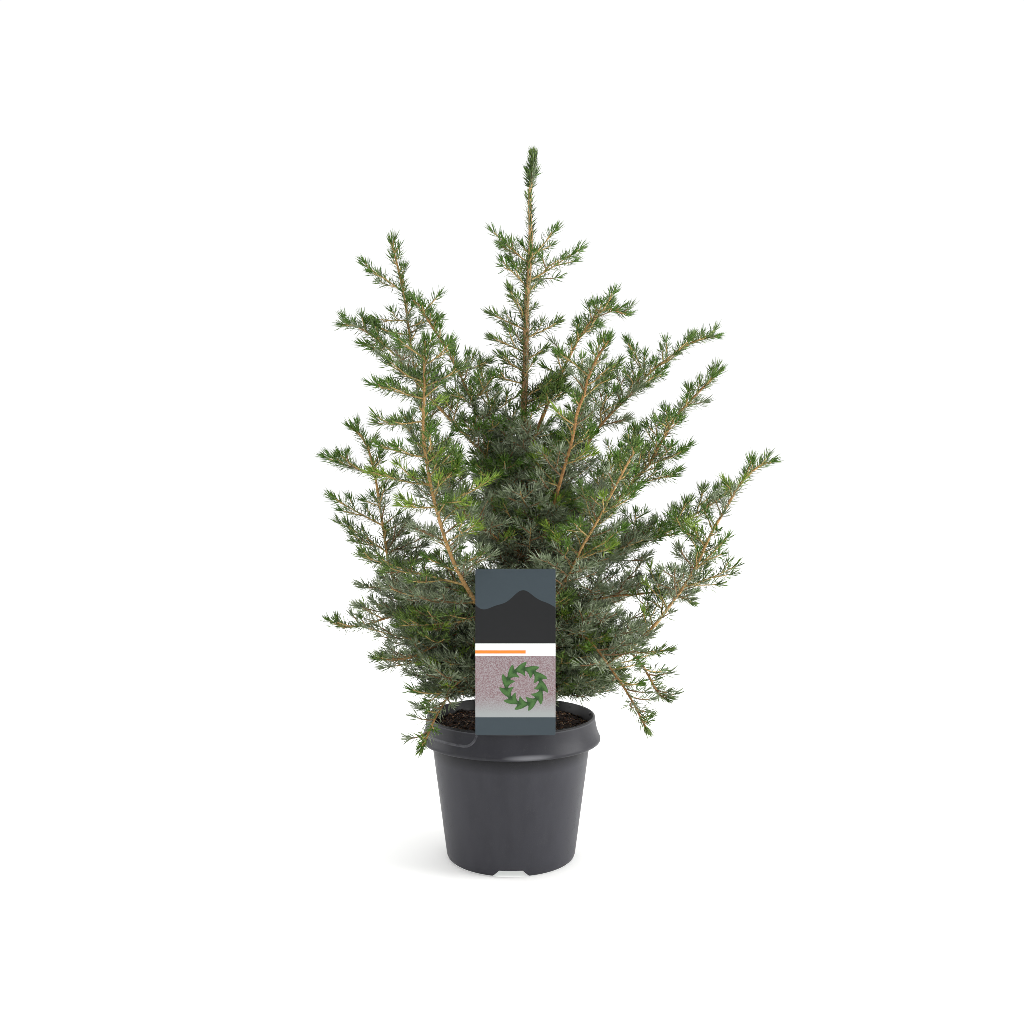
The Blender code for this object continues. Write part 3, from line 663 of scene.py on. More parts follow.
# ---------- Trunk ----------
# One leaning, tapering stem that flares at its foot, brown below and orange-tan above. The woody
# cushions that carried its needles still stand on its bark in crossing spirals.
TRUNK_LEAN = (  # height, and how far the stem's centre lies to the right
    (0.168, 0.003), (0.300, 0.016), (0.443, 0.031), (0.505, 0.027), (0.559, 0.0155),
    (0.634, 0.0193), (0.700, 0.0193), (0.791, 0.0264), (0.849, 0.0226), (0.898, 0.0310),
)
LEAN_ROUNDING = 0.025
TRUNK_BUTT = 0.0066
TRUNK_TIP = 0.0019
TAPER_POWER = 0.85
FLARE = 0.0050
FLARE_HEIGHT = 0.012
FLARE_LOBES = 5
TRUNK_SIDES = 22
TRUNK_SUNK = 0.003  # how far the stem goes on down into the soil
RING_STEP = 0.0022
CUSHION_HEIGHT = 0.11  # of a limb's radius
CUSHION_STEP = 0.0075  # how far apart the cushions stand along a limb
CUSHION_WANDER = 0.35
CRACK_SHADE = 0.34
TRUNK_OLD = (0.16, 0.085, 0.040)
TRUNK_YOUNG = (0.36, 0.215, 0.100)
TRUNK_LEADER = (0.58, 0.375, 0.170)
LEADER_BARK = (0.64, 0.80)  # the heights between which the stem turns into pale young bark


def lean(z):
    return np.interp(z, [h for h, _ in TRUNK_LEAN], [x for _, x in TRUNK_LEAN])


def trunk_axis(z):
    """The stem's centre at a height, with the corners of the lean rounded off."""
    nearby = [lean(z + LEAN_ROUNDING * k) for k in (-1.0, -0.5, 0.0, 0.5, 1.0)]
    return np.array([sum(nearby) / len(nearby), 0.0, z])


def trunk_radius(z):
    low, high = TRUNK_LEAN[0][0], TRUNK_LEAN[-1][0]
    share = min(1.0, max(0.0, (z - low) / (high - low)))
    return TRUNK_TIP + (TRUNK_BUTT - TRUNK_TIP) * (1.0 - share) ** TAPER_POWER


def distances(line):
    """How far along a line each of its points lies."""
    return np.concatenate([[0.0], np.cumsum(np.linalg.norm(np.diff(line, axis=0), axis=1))])


def cushioned(line, radii, sides):
    """Rings pushed out by the needle cushions, in spirals of three one way and five the other."""
    rings = tube_rings(line, radii, sides)
    run = distances(line)[:, None]
    angles = (np.arange(sides) * math.tau / sides)[None]
    climb = run / CUSHION_STEP * math.tau
    first = np.cos(3 * angles + climb)
    second = np.cos(5 * angles - climb * 1.3 + 0.5)
    wander = CUSHION_WANDER * np.sin(2 * angles + run * 160) * np.cos(angles * 3 - run * 90)
    lift = np.maximum(0.0, first * 0.6 + second * 0.6 + wander) ** 1.3
    return line[:, None] + (rings - line[:, None]) * (1.0 + CUSHION_HEIGHT * (lift - 0.45))[:, :, None]


def bark(name, old, young, rough=0.82, leader=None):
    """Bark in streaks of an old and a young colour, dark in its cracks, paler up a leader if given."""
    finish, spot = new_finish(name, rough, 0.3)
    streak = spot.noise(0.0045, detail=5.0, rough=0.7)
    fleck = spot.noise(0.0013, detail=3.0, rough=0.6)
    dark = [CRACK_SHADE * part for part in old]
    shade = streak.ramp(0.36, 0.64).tint(old, young)
    if leader:
        shade = spot.xyz()[2].ramp(*LEADER_BARK).tint(shade, leader)
    feed(
        finish,
        base_color=fleck.ramp(0.56, 0.72).tint(shade, dark),
        roughness=fleck.ramp(0.3, 0.7, rough - 0.1, rough + 0.08),
        normal=(fleck + streak).bump(0.0003),
    )
    return finish


trunk_foot, trunk_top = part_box("trunk")[0][2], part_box("trunk")[1][2]
trunk_heights = np.arange(trunk_foot - TRUNK_SUNK, trunk_top, RING_STEP)
trunk_line = np.array([trunk_axis(z) for z in trunk_heights])
trunk_radii = np.array([trunk_radius(z) for z in trunk_heights])
flare = FLARE * np.exp(-np.maximum(0.0, trunk_heights - trunk_foot) / FLARE_HEIGHT)
lobes = 0.75 + 0.25 * np.cos(FLARE_LOBES * (np.arange(TRUNK_SIDES) * math.tau / TRUNK_SIDES))
swell = 1.0 + flare[:, None] * lobes[None] / trunk_radii[:, None]
outward = cushioned(trunk_line, trunk_radii, TRUNK_SIDES) - trunk_line[:, None]
trunk_rings = trunk_line[:, None] + outward * swell[:, :, None]
trunk_bark = bark("trunk_bark", TRUNK_OLD, TRUNK_YOUNG, leader=TRUNK_LEADER)
trunk = shown("trunk_bark", swept(trunk_rings), trunk_bark)
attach(trunk, "root")
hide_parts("trunk")


# ---------- Boughs ----------
# Each bough is one limb that leaves the stem, sweeps out and turns up to its own tip. The young
# ones are a pale orange-tan, the lower and inner ones a darker rust brown.
Bough = namedtuple(
    "Bough",
    "place leaves_at heading reach tip_height rise pull tip_rise tip_pull swing butt bare wide",
)
BOUGHS = [
    Bough("high_left", 0.432, 160, 0.206, 0.810, -19, 0.185, 70, 0.142, -1, 0.0030, 0.40, 0.040),
    Bough("front_left", 0.262, -133, 0.165, 0.639, 30, 0.279, 85, 0.049, -8, 0.0037, 0.30, 0.054),
    Bough("inner_left", 0.400, -172, 0.151, 0.709, 13, 0.106, 52, 0.268, 9, 0.0030, 0.46, 0.042),
    Bough("upper_left", 0.470, 164, 0.270, 0.696, 27, 0.136, 3, 0.093, -18, 0.0030, 0.26, 0.046),
    Bough("far_left", 0.285, -175, 0.220, 0.548, -9, 0.250, 27, 0.087, 3, 0.0034, 0.36, 0.047),
    Bough("low_left", 0.325, 169, 0.256, 0.294, 8, 0.118, 85, 0.033, -1, 0.0030, 0.22, 0.046),
    Bough("low_front_left", 0.230, -155, 0.188, 0.264, 57, 0.149, 15, 0.093, 1, 0.0028, 0.26, 0.046),
    Bough("rim_left", 0.208, -138, 0.150, 0.162, 43, 0.099, -58, 0.079, 5, 0.0026, 0.30, 0.044),
    Bough("high_right", 0.520, 24, 0.145, 0.708, 68, 0.249, 3, 0.039, 10, 0.0028, 0.26, 0.034),
    Bough("front_middle", 0.335, -57, 0.168, 0.636, 63, 0.282, 35, 0.086, -4, 0.0036, 0.26, 0.046),
    Bough("upper_right", 0.425, 11, 0.251, 0.675, 60, 0.095, 3, 0.085, 11, 0.0032, 0.24, 0.050),
    Bough("right", 0.372, -7, 0.244, 0.619, 34, 0.271, 41, 0.169, 0, 0.0034, 0.26, 0.052),
    Bough("front_right", 0.302, -45, 0.183, 0.516, 0, 0.049, 56, 0.188, 4, 0.0034, 0.22, 0.050),
    Bough("far_right", 0.215, -5, 0.321, 0.503, 4, 0.243, 10, 0.087, 5, 0.0037, 0.40, 0.042),
    Bough("inner_right", 0.348, 16, 0.298, 0.473, 18, 0.142, 33, 0.137, 0, 0.0030, 0.22, 0.046),
    Bough("low_right", 0.305, 5, 0.219, 0.322, 17, 0.072, -41, 0.041, 1, 0.0028, 0.20, 0.050),
    Bough("rim_right", 0.270, -17, 0.187, 0.211, 26, 0.166, 10, 0.024, -4, 0.0028, 0.27, 0.048),
    Bough("rim_front", 0.238, -37, 0.185, 0.188, 68, 0.130, -59, 0.099, -2, 0.0026, 0.30, 0.046),
    Bough("front_short", 0.385, -137, 0.131, 0.450, 13, 0.050, 31, 0.051, 0, 0.0024, 0.24, 0.050),
    Bough("back_high_left", 0.480, 122, 0.140, 0.650, 25, 0.080, 60, 0.080, -6, 0.0028, 0.24, 0.046),
    Bough("back_high_right", 0.462, 58, 0.160, 0.650, 25, 0.080, 60, 0.080, 6, 0.0028, 0.24, 0.046),
    Bough("back_left", 0.380, 140, 0.230, 0.575, 15, 0.100, 55, 0.100, -6, 0.0032, 0.24, 0.058),
    Bough("back", 0.355, 96, 0.245, 0.530, 10, 0.100, 50, 0.100, -5, 0.0034, 0.22, 0.058),
    Bough("back_right", 0.405, 48, 0.235, 0.560, 15, 0.100, 50, 0.100, 6, 0.0032, 0.24, 0.048),
    Bough("back_low_left", 0.240, 128, 0.205, 0.335, 20, 0.080, 25, 0.080, -5, 0.0030, 0.26, 0.048),
    Bough("back_low_right", 0.262, 45, 0.225, 0.330, 20, 0.080, 20, 0.080, 5, 0.0030, 0.26, 0.056),
]
PALE_BOUGHS = ("front_left", "front_right", "far_left", "far_right", "high_left", "upper_left")
BOUGH_SIDES = 10
BOUGH_TIP = 0.0013
LIMB_SHRINK = 0.45  # how much of its butt a limb loses before its needles begin
KINK = 0.0016
PALE_OLD, PALE_YOUNG = (0.34, 0.185, 0.068), (0.57, 0.355, 0.145)
RUST_OLD, RUST_YOUNG = (0.22, 0.110, 0.040), (0.46, 0.255, 0.095)


def pointing(heading, rise):
    """The direction of a heading round the pot and a rise above level, both in degrees."""
    a, e = math.radians(heading), math.radians(rise)
    return np.array([math.cos(a) * math.cos(e), math.sin(a) * math.cos(e), math.sin(e)])


def bough_point(b, t):
    """Where bough b is at share t of its curve: a Bezier from the stem's centre to its tip."""
    start = trunk_axis(b.leaves_at)
    tip = start + pointing(b.heading, 0.0) * b.reach
    tip[2] = b.tip_height
    leaving = start + pointing(b.heading - b.swing, b.rise) * b.pull
    arriving = tip - pointing(b.heading + b.swing, b.tip_rise) * b.tip_pull
    u = 1.0 - t
    return u ** 3 * start + 3 * u * u * t * leaving + 3 * u * t * t * arriving + t ** 3 * tip


def bough_radius(b, t):
    """The limb's own taper as far as its needles begin, then on down to the thickness of a twig."""
    at_bare = b.butt * (1.0 - LIMB_SHRINK)
    if t < b.bare:
        return b.butt * (1.0 - LIMB_SHRINK * t / b.bare)
    return BOUGH_TIP + (at_bare - BOUGH_TIP) * ((1.0 - t) / (1.0 - b.bare)) ** 0.9


def bough_line(b, number, steps):
    """Points along a bough, with the slight kinks that each year's growth leaves."""
    shares = np.linspace(0.0, 1.0, steps)
    line = np.array([bough_point(b, t) for t in shares])
    sway = np.sin(shares * 17.0 + number)[:, None] * np.array([0.6, 0.5, 0.3])
    sway += np.sin(shares * 29.0 + 2.1 * number)[:, None] * np.array([-0.3, 0.4, 0.4])
    return shares, line + sway * (KINK * np.sin(math.pi * shares)[:, None])


pale_bark = bark("bough_bark_pale", PALE_OLD, PALE_YOUNG)
rust_bark = bark("bough_bark_rust", RUST_OLD, RUST_YOUNG)
bough_lines = {}
for number, b in enumerate(BOUGHS):
    length = distances([bough_point(b, t) for t in np.linspace(0, 1, 30)])[-1]
    shares, line = bough_line(b, number, int(length / RING_STEP) + 1)
    bough_lines[b.place] = (shares, line)
    radii = np.array([bough_radius(b, t) for t in shares])
    skin = swept(cushioned(line, radii, BOUGH_SIDES))
    limb = shown(f"bark_{b.place}", skin, pale_bark if b.place in PALE_BOUGHS else rust_bark)
    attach(limb, "root")
    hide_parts(f"bough_{b.place}")


# ---------- Shoots ----------
# Thin woody side shoots that stand all round a bough. The longer ones fork again, nearly in the plane
# they grow in, and most bend up towards their tips. They are joined by the colour of their bark.
Shoot = namedtuple("Shoot", "line tone order seed")
UP = np.array([0.0, 0.0, 1.0])
GOLDEN_TURN = math.radians(137.5)
NEEDLE_REACH = 0.009  # how far needles stand out beyond the shoots in a mass
SHOOTS_FROM = 0.40  # where the first side shoot stands, as a part of a bough's bare stretch
SHOOTS_END = 0.006  # a bough's last stretch, which has none
SHOOT_SPACING = 0.0080
SHOOT_ANGLE = (74.0, 42.0)  # degrees from the bough, at its start and at its tip
SHOOT_FILL = 1.22  # the longest side shoots as a part of their mass's reach
SHOOT_LEAST = 0.012
LONG_SHOOTS = 0.6  # how many of a bough's shoots come near that length; the others stay short
LONG_SHARE, SHORT_SHARE = (0.85, 1.2), (0.4, 0.7)
SHOOT_STEP = 0.007
SHOOT_LIFT = (0.05, 0.30)  # how far a shoot bends up, as a part of its length
STEEP_SAG = 0.25  # how much less of that a steep shoot has
SHOOT_SWAY = 0.05
FORK_FROM = 0.034  # a shoot longer than this forks again
FORK_ORDERS = 2
FORK_FIRST = (0.009, 0.014)
FORK_SPACING = 0.0130
FORK_END = 0.010  # the last stretch of a shoot, which doesn't fork
FORK_ANGLE = (38.0, 58.0)
FORK_TILT = 0.35
FORK_LEAST, FORK_LONGEST = 0.010, 0.048
FORK_SHARE = (0.35, 0.62)  # a fork's length as a part of what is left of its shoot
TWIG_SIDES = 4
SHOOT_RADIUS = 0.00095
SHOOT_TIP = 0.00055
LONG_SHOOT = 0.06  # a longer shoot is thicker at its foot
LONG_THICKENING = 0.007
BROWN_SHOOT = 0.08  # a grey shoot shorter than this has brown bark
TAN_OLD, TAN_YOUNG = (0.42, 0.265, 0.095), (0.64, 0.455, 0.190)
BROWN_OLD, BROWN_YOUNG = (0.17, 0.095, 0.045), (0.36, 0.22, 0.105)
CLEAR = 0.002  # the room that shoots and needles keep from the pot's outside and the card
MOUTH_CLEAR, SOIL_CLEAR, STAKE_CLEAR, FLOOR_CLEAR = 0.004, 0.006, 0.008, 0.004

# Side shoots of the leader: height, heading, rise and length.
LEADER_SHOOTS = (
    (0.868, 175, 62, 0.009), (0.867, 10, 58, 0.009),
    (0.7677, -8, 43, 0.046), (0.760, 188, 34, 0.056), (0.738, 6, 32, 0.078), (0.729, 196, 40, 0.043),
    (0.755, -80, 45, 0.026), (0.748, 95, 40, 0.040), (0.742, 140, 42, 0.040), (0.7215, 60, 42, 0.036),
    (0.7685, 200, 58, 0.018), (0.7600, 40, 50, 0.020),
    (0.681, 182, 66, 0.052), (0.675, 172, 23, 0.050), (0.6646, 4, 20, 0.042), (0.6465, 190, 21, 0.045),
    (0.6362, -10, 25, 0.026), (0.6207, 178, 26, 0.035), (0.605, 192, 12, 0.043), (0.612, -70, 30, 0.030),
    (0.690, 100, 40, 0.036), (0.668, 65, 35, 0.032), (0.655, 130, 35, 0.036), (0.632, 85, 30, 0.034),
    (0.588, -10, 25, 0.060), (0.577, 12, 30, 0.064), (0.566, -32, 20, 0.060), (0.592, 22, 20, 0.050),
    (0.582, -4, 12, 0.056), (0.573, 30, 26, 0.056),
)
# Single shoots with a place of their own on a bough: height, heading, rise, length and tone.
SINGLE_SHOOTS = (
    ("far_left", (
        (0.486, 180, 20, 0.066, "green"), (0.424, 178, 26, 0.073, "green"), (0.388, 182, 35, 0.072, "deep"),
        (0.389, -10, 14, 0.060, "grey"), (0.376, 5, 4, 0.054, "grey"),
    )),
    ("low_left", (
        (0.318, -160, -18, 0.075, "grey"), (0.322, 190, -30, 0.085, "deep"),
        (0.326, -140, -40, 0.070, "grey"),
    )),
    ("high_left", ((0.738, 180, 36, 0.064, "green"),)),
    ("high_right", ((0.667, 0, 48, 0.070, "green"),)),
    ("upper_left", (
        (0.683, 150, 72, 0.024, "green"), (0.670, -120, -50, 0.032, "deep"),
        (0.662, -105, -30, 0.050, "green"), (0.640, -80, -20, 0.055, "grey"),
    )),
    ("front_left", (
        (0.618, 192, 30, 0.036, "green"), (0.610, -15, 30, 0.036, "green"), (0.590, 170, 20, 0.048, "deep"),
        (0.585, 5, 24, 0.046, "deep"), (0.571, 186, 14, 0.060, "green"), (0.545, 176, -12, 0.054, "deep"),
        (0.503, 182, 4, 0.053, "green"), (0.471, -170, 6, 0.066, "young"), (0.445, -150, -6, 0.042, "young"),
        (0.492, -55, 30, 0.024, "young"), (0.4615, -28, 40, 0.038, "young"),
        (0.4485, -12, 12, 0.068, "young"), (0.354, 178, 12, 0.125, "deep"), (0.405, -40, 25, 0.050, "young"),
        (0.330, -178, -4, 0.110, "grey"), (0.310, 190, -10, 0.110, "deep"),
    )),
    ("inner_left", (
        (0.695, 0, 45, 0.028, "green"), (0.618, 0, 18, 0.036, "deep"), (0.585, -40, 30, 0.045, "green"),
        (0.560, -15, 25, 0.055, "deep"), (0.535, -70, 20, 0.055, "green"), (0.505, -35, 15, 0.060, "grey"),
        (0.575, -120, 20, 0.045, "deep"), (0.520, -10, 35, 0.050, "green"),
    )),
    ("front_middle", (
        (0.500, 0, 16, 0.034, "young"), (0.490, 180, 42, 0.040, "young"), (0.470, 178, 22, 0.030, "green"),
    )),
    ("front_right", (
        (0.388, 180, 38, 0.046, "young"), (0.382, -5, 18, 0.046, "young"), (0.440, -90, 35, 0.030, "young"),
    )),
    ("upper_right", ((0.600, 8, 28, 0.046, "green"), (0.618, 160, 62, 0.050, "green"))),
    ("right", ((0.500, -20, 14, 0.050, "green"), (0.478, -8, 2, 0.055, "green"))),
    ("far_right", (
        (0.365, 0, 44, 0.060, "green"), (0.345, 5, 15, 0.070, "deep"), (0.400, 182, 30, 0.050, "green"),
    )),
    ("low_right", ((0.335, -8, -4, 0.060, "grey"), (0.318, 10, -14, 0.060, "grey"))),
    ("inner_right", (
        (0.375, -60, 0, 0.050, "grey"), (0.380, -30, -10, 0.065, "grey"),
        (0.385, 20, 20, 0.060, "deep"), (0.392, -20, 26, 0.060, "green"),
    )),
    ("front_middle", ((0.600, 150, 40, 0.042, "green"), (0.590, 20, 30, 0.045, "deep"))),
    ("high_left", (
        (0.700, -160, -10, 0.045, "green"), (0.680, 190, 0, 0.050, "deep"), (0.690, 10, 20, 0.040, "green"),
    )),
)
# Long shoots of the stem, most of them low over the rim: height, heading, rise, length and tone.
STEM_SHOOTS = (
    (0.300, -42, -8, 0.085, "young"), (0.296, -30, -18, 0.095, "young"), (0.285, -22, -26, 0.090, "deep"),
    (0.262, -14, 4, 0.120, "deep"), (0.252, -38, 6, 0.110, "grey"), (0.240, -52, 10, 0.100, "deep"),
    (0.232, -25, 12, 0.120, "grey"), (0.224, -5, 14, 0.125, "deep"), (0.218, -60, 18, 0.095, "grey"),
    (0.214, -32, 14, 0.110, "grey"), (0.246, 8, 6, 0.130, "grey"), (0.270, -68, 8, 0.090, "grey"),
    (0.278, -48, 2, 0.105, "grey"), (0.290, -15, 4, 0.110, "grey"), (0.222, -128, 14, 0.100, "grey"),
    (0.236, -145, 8, 0.115, "grey"), (0.250, -160, 4, 0.120, "grey"), (0.244, 150, 8, 0.120, "grey"),
    (0.230, 110, 14, 0.120, "grey"), (0.256, 85, 8, 0.120, "deep"), (0.226, 60, 14, 0.120, "grey"),
    (0.248, 30, 8, 0.125, "deep"), (0.282, -172, -6, 0.150, "deep"),
    (0.272, -120, 12, 0.100, "grey"), (0.306, -60, 6, 0.095, "deep"), (0.312, -130, 4, 0.110, "deep"),
    (0.263, -16, -14, 0.125, "deep"), (0.252, -27, -12, 0.120, "grey"), (0.242, -9, -8, 0.125, "deep"),
    (0.272, -36, -22, 0.115, "grey"), (0.237, -19, -4, 0.130, "deep"), (0.230, 4, -2, 0.130, "grey"),
    (0.253, 20, -10, 0.130, "deep"), (0.292, -29, -30, 0.130, "young"), (0.280, -6, -24, 0.140, "grey"),
    (0.264, -162, -14, 0.130, "grey"), (0.251, -151, -12, 0.125, "grey"), (0.273, -141, -20, 0.125, "grey"),
    (0.229, -179, -2, 0.130, "grey"), (0.284, -166, -22, 0.170, "grey"), (0.294, -156, -30, 0.160, "young"),
    (0.298, 176, -18, 0.180, "grey"),
    (0.214, -20, -7, 0.125, "deep"), (0.221, -35, -10, 0.120, "grey"), (0.228, -8, -13, 0.130, "deep"),
    (0.235, -28, -17, 0.125, "grey"), (0.243, 0, -18, 0.140, "deep"), (0.208, -12, -2, 0.120, "grey"),
    (0.211, 12, -4, 0.120, "grey"), (0.248, -44, -22, 0.120, "deep"), (0.257, -18, -24, 0.140, "grey"),
    (0.215, -160, -8, 0.125, "grey"), (0.224, -146, -11, 0.120, "grey"), (0.240, -153, -18, 0.130, "grey"),
    (0.208, -168, -2, 0.120, "grey"), (0.249, -164, -20, 0.150, "grey"), (0.300, -174, -23, 0.215, "grey"),
    (0.290, -168, -22, 0.190, "grey"), (0.270, -172, -26, 0.190, "grey"), (0.330, 176, -2, 0.215, "grey"),
    (0.318, 178, -16, 0.225, "grey"),
    (0.470, 180, 44, 0.085, "grey"), (0.445, -172, 40, 0.095, "deep"), (0.286, -12, -20, 0.120, "grey"),
    (0.365, -6, 6, 0.150, "grey"), (0.350, 8, 8, 0.150, "deep"), (0.376, 2, 10, 0.140, "grey"),
    (0.222, -24, -9, 0.112, "deep"), (0.216, -2, -8, 0.118, "grey"), (0.239, -32, -16, 0.115, "grey"),
    (0.480, -165, 10, 0.085, "green"), (0.495, 178, 5, 0.075, "deep"), (0.465, -150, 15, 0.085, "green"),
    (0.455, 170, 20, 0.085, "grey"), (0.430, -30, 25, 0.075, "green"), (0.410, -60, 30, 0.065, "young"),
)
# Short shoots that fill the stem's middle, all round it, and how long they are at which height.
STEM_FILL = (0.225, 0.555)
STEM_FILL_SPACING = (0.0025, 0.0055)
STEM_FILL_HEIGHTS, STEM_FILL_LENGTHS = (0.22, 0.30, 0.48, 0.56), (0.08, 0.11, 0.08, 0.045)


def normal_to(vectors, along):
    """Vectors with what lies along another direction taken out, at unit length."""
    flat = vectors - along * np.sum(vectors * along, axis=-1, keepdims=True)
    return flat / np.maximum(1e-9, np.linalg.norm(flat, axis=-1, keepdims=True))


def is_blocked(points):
    """Whether places lie in the pot, the soil, the label or the room in front of the label."""
    points = np.atleast_2d(points)
    x, y, z = points.T
    out = np.hypot(x, y)
    off_card = np.abs(x - CARD_CENTRE)
    in_collar = (z < RIM_HEIGHT + CLEAR) & (z > COLLAR_BOTTOM - 0.003) & (out < LIP_RADIUS + CLEAR)
    in_mouth = (out < RIM_RADIUS - MOUTH_CLEAR) & (z > SOIL_LEVEL + SOIL_CLEAR)
    in_body = (z < COLLAR_BOTTOM) & (out < wall_radius(z) + CLEAR)
    at_card = (off_card < CARD_HALF + 0.003) & (y < CARD_HIGH[1] + CLEAR) & (z < CARD_HIGH[2] + CLEAR)
    at_stake = (off_card < STAKE_CLEAR) & (y < STAKE_HIGH[1] + 0.001) & (z < STAKE_HIGH[2])
    return (in_collar & ~in_mouth) | in_body | at_card | at_stake | (z < FLOOR_CLEAR)


def grow(rng, shoots, start, towards, length, tone, order=1):
    """Adds a shoot and, where it is long enough, the shoots that fork from it."""
    lift = rng.uniform(*SHOOT_LIFT) - STEEP_SAG * towards[2]
    steps = max(3, int(length / SHOOT_STEP))
    run = np.linspace(0.0, 1.0, steps + 1)[:, None]
    side = normal_to(np.cross(towards, UP), towards)
    sway = side * (rng.normal(0.0, SHOOT_SWAY) * np.sin(run * rng.uniform(3.0, 6.0)))
    line = start + length * (towards * run + UP * (lift * run ** 2) + sway)
    if is_blocked(line).any():
        return
    shoots.append(Shoot(line, tone, order, int(rng.integers(1 << 30))))
    if length < FORK_FROM or order > FORK_ORDERS:
        return
    hand = rng.choice((-1.0, 1.0))
    place = rng.uniform(*FORK_FIRST)
    while place < length - FORK_END:
        at = min(steps - 1, int(place / length * steps))
        share = place / length * steps - at
        step = line[at + 1] - line[at]
        along = unit(step)
        angle = math.radians(rng.uniform(*FORK_ANGLE))
        out = normal_to(side * hand + UP * rng.normal(0.0, FORK_TILT), along)
        fork = math.cos(angle) * along + math.sin(angle) * out
        reach = min(FORK_LONGEST, FORK_LEAST + (length - place) * rng.uniform(*FORK_SHARE))
        grow(rng, shoots, line[at] + step * share, fork, reach, tone, order + 1)
        hand = -hand
        place += FORK_SPACING * rng.uniform(0.75, 1.35)


def mass_profile(b, share):
    """How far a mass reaches at a share of its length, as a part of its full width."""
    swelling = 0.65 + 0.35 * min(1.0, share / 0.30)
    tapering = 0.26 + 0.74 * min(1.0, (1.0 - share) / 0.66)
    return swelling * tapering * np.interp(b.tip_height, (0.50, 0.64), (1.0, 0.80))


def tone_at(rng, spot, share):
    """Which colour of needles a shoot carries: greyer inside and low down, greener out at the tips."""
    inner = 1.0 - min(1.0, math.hypot(spot[0] - 0.02, spot[1]) / 0.20)
    odds = 0.50 * inner + 0.22 * (1.0 - share) + 0.15 * (spot[2] < 0.48) + 0.30 * (spot[2] < 0.38)
    if rng.random() < odds:
        return "grey"
    if rng.random() < 0.10 and spot[2] < 0.60:
        return "young"
    return "green" if rng.random() < 0.6 else "deep"


def point_at(place, run, line):
    """Where a line is at one or more distances along it."""
    return np.stack([np.interp(place, run, line[:, k]) for k in range(3)], axis=-1)


shoots = []
for number, b in enumerate(BOUGHS):
    rng = np.random.default_rng(100 + number)
    shares, line = bough_lines[b.place]
    run = distances(line)
    begin = np.interp(SHOOTS_FROM * b.bare, shares, run)
    place = begin
    turn = rng.uniform(0.0, math.tau)
    while place < run[-1] - SHOOTS_END:
        share = (place - begin) / (run[-1] - begin)
        spot = point_at(place, run, line)
        along = unit(point_at(place + 0.004, run, line) - point_at(place - 0.004, run, line))
        side = normal_to(np.cross(UP, pointing(b.heading, 0.0)), along)
        over = np.cross(along, side)
        radial = unit(math.cos(turn) * side + abs(math.sin(turn)) * over - 0.25 * over)
        angle = math.radians(np.interp(share, (0.0, 1.0), SHOOT_ANGLE) + rng.normal(0.0, 8.0))
        length = (b.wide * mass_profile(b, share) * SHOOT_FILL - NEEDLE_REACH) / math.sin(angle)
        length *= rng.uniform(*(LONG_SHARE if rng.random() < LONG_SHOOTS else SHORT_SHARE))
        length = max(SHOOT_LEAST, length)
        towards = math.cos(angle) * along + math.sin(angle) * radial
        grow(rng, shoots, spot, towards, length, tone_at(rng, spot, share))
        turn += GOLDEN_TURN + rng.normal(0.0, 0.25)
        place += SHOOT_SPACING * rng.uniform(0.7, 1.35)

rng = np.random.default_rng(7)
for height, heading, rise, length in LEADER_SHOOTS:
    tone = "green" if height > 0.70 else "deep"
    grow(rng, shoots, trunk_axis(height), pointing(heading, rise), length, tone)
for bough, rows in SINGLE_SHOOTS:
    line = bough_lines[bough][1]
    for height, heading, rise, length, tone in rows:
        spot = line[np.abs(line[:, 2] - height).argmin()]
        grow(rng, shoots, spot, pointing(heading, rise), length, tone)
for height, heading, rise, length, tone in STEM_SHOOTS:
    grow(rng, shoots, trunk_axis(height), pointing(heading, rise), length, tone)
height, turn = STEM_FILL[0], 0.0
while height < STEM_FILL[1]:
    spot = trunk_axis(height)
    tone = tone_at(rng, spot, 0.3)
    length = rng.uniform(0.55, 1.0) * np.interp(height, STEM_FILL_HEIGHTS, STEM_FILL_LENGTHS)
    grow(rng, shoots, spot, pointing(math.degrees(turn), rng.uniform(5, 40)), length, tone)
    height += rng.uniform(*STEM_FILL_SPACING)
    turn += GOLDEN_TURN

twig_parts = {"tan": [], "brown": []}
for shoot in shoots:
    reach = np.linalg.norm(shoot.line[-1] - shoot.line[0])
    thick = SHOOT_RADIUS * (1.15 if shoot.order == 1 else 0.9)
    thick += LONG_THICKENING * max(0.0, reach - LONG_SHOOT)
    rings = tube_rings(shoot.line, np.linspace(thick, SHOOT_TIP, len(shoot.line)), TWIG_SIDES)
    brown = shoot.order > 2 or (shoot.tone == "grey" and reach < BROWN_SHOOT)
    twig_parts["brown" if brown else "tan"].append(rings)


def joined_tubes(parts):
    """Many tubes as one skin, each closed to a point at its tip."""
    points, faces, first = [], [], 0
    for rings in parts:
        count, sides = rings.shape[:2]
        j = np.arange(sides)
        k = (j + 1) % sides
        for i in range(count - 1):
            low, high = first + i * sides, first + (i + 1) * sides
            faces.append(np.stack([low + j, low + k, high + k], axis=1))
            faces.append(np.stack([low + j, high + k, high + j], axis=1))
        points += [rings.reshape(-1, 3), rings[-1].mean(axis=0, keepdims=True)]
        last = first + (count - 1) * sides
        faces.append(np.stack([last + j, last + k, np.full(sides, first + count * sides)], axis=1))
        first += count * sides + 1
    return mesh_of(np.vstack(points), np.vstack(faces).tolist())


twig_barks = {
    "tan": bark("twig_bark_tan", TAN_OLD, TAN_YOUNG),
    "brown": bark("twig_bark_brown", BROWN_OLD, BROWN_YOUNG),
}
for kind, parts in twig_parts.items():
    twigs = shown(f"twigs_{kind}", joined_tubes(parts), twig_barks[kind])
    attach(twigs, "root")


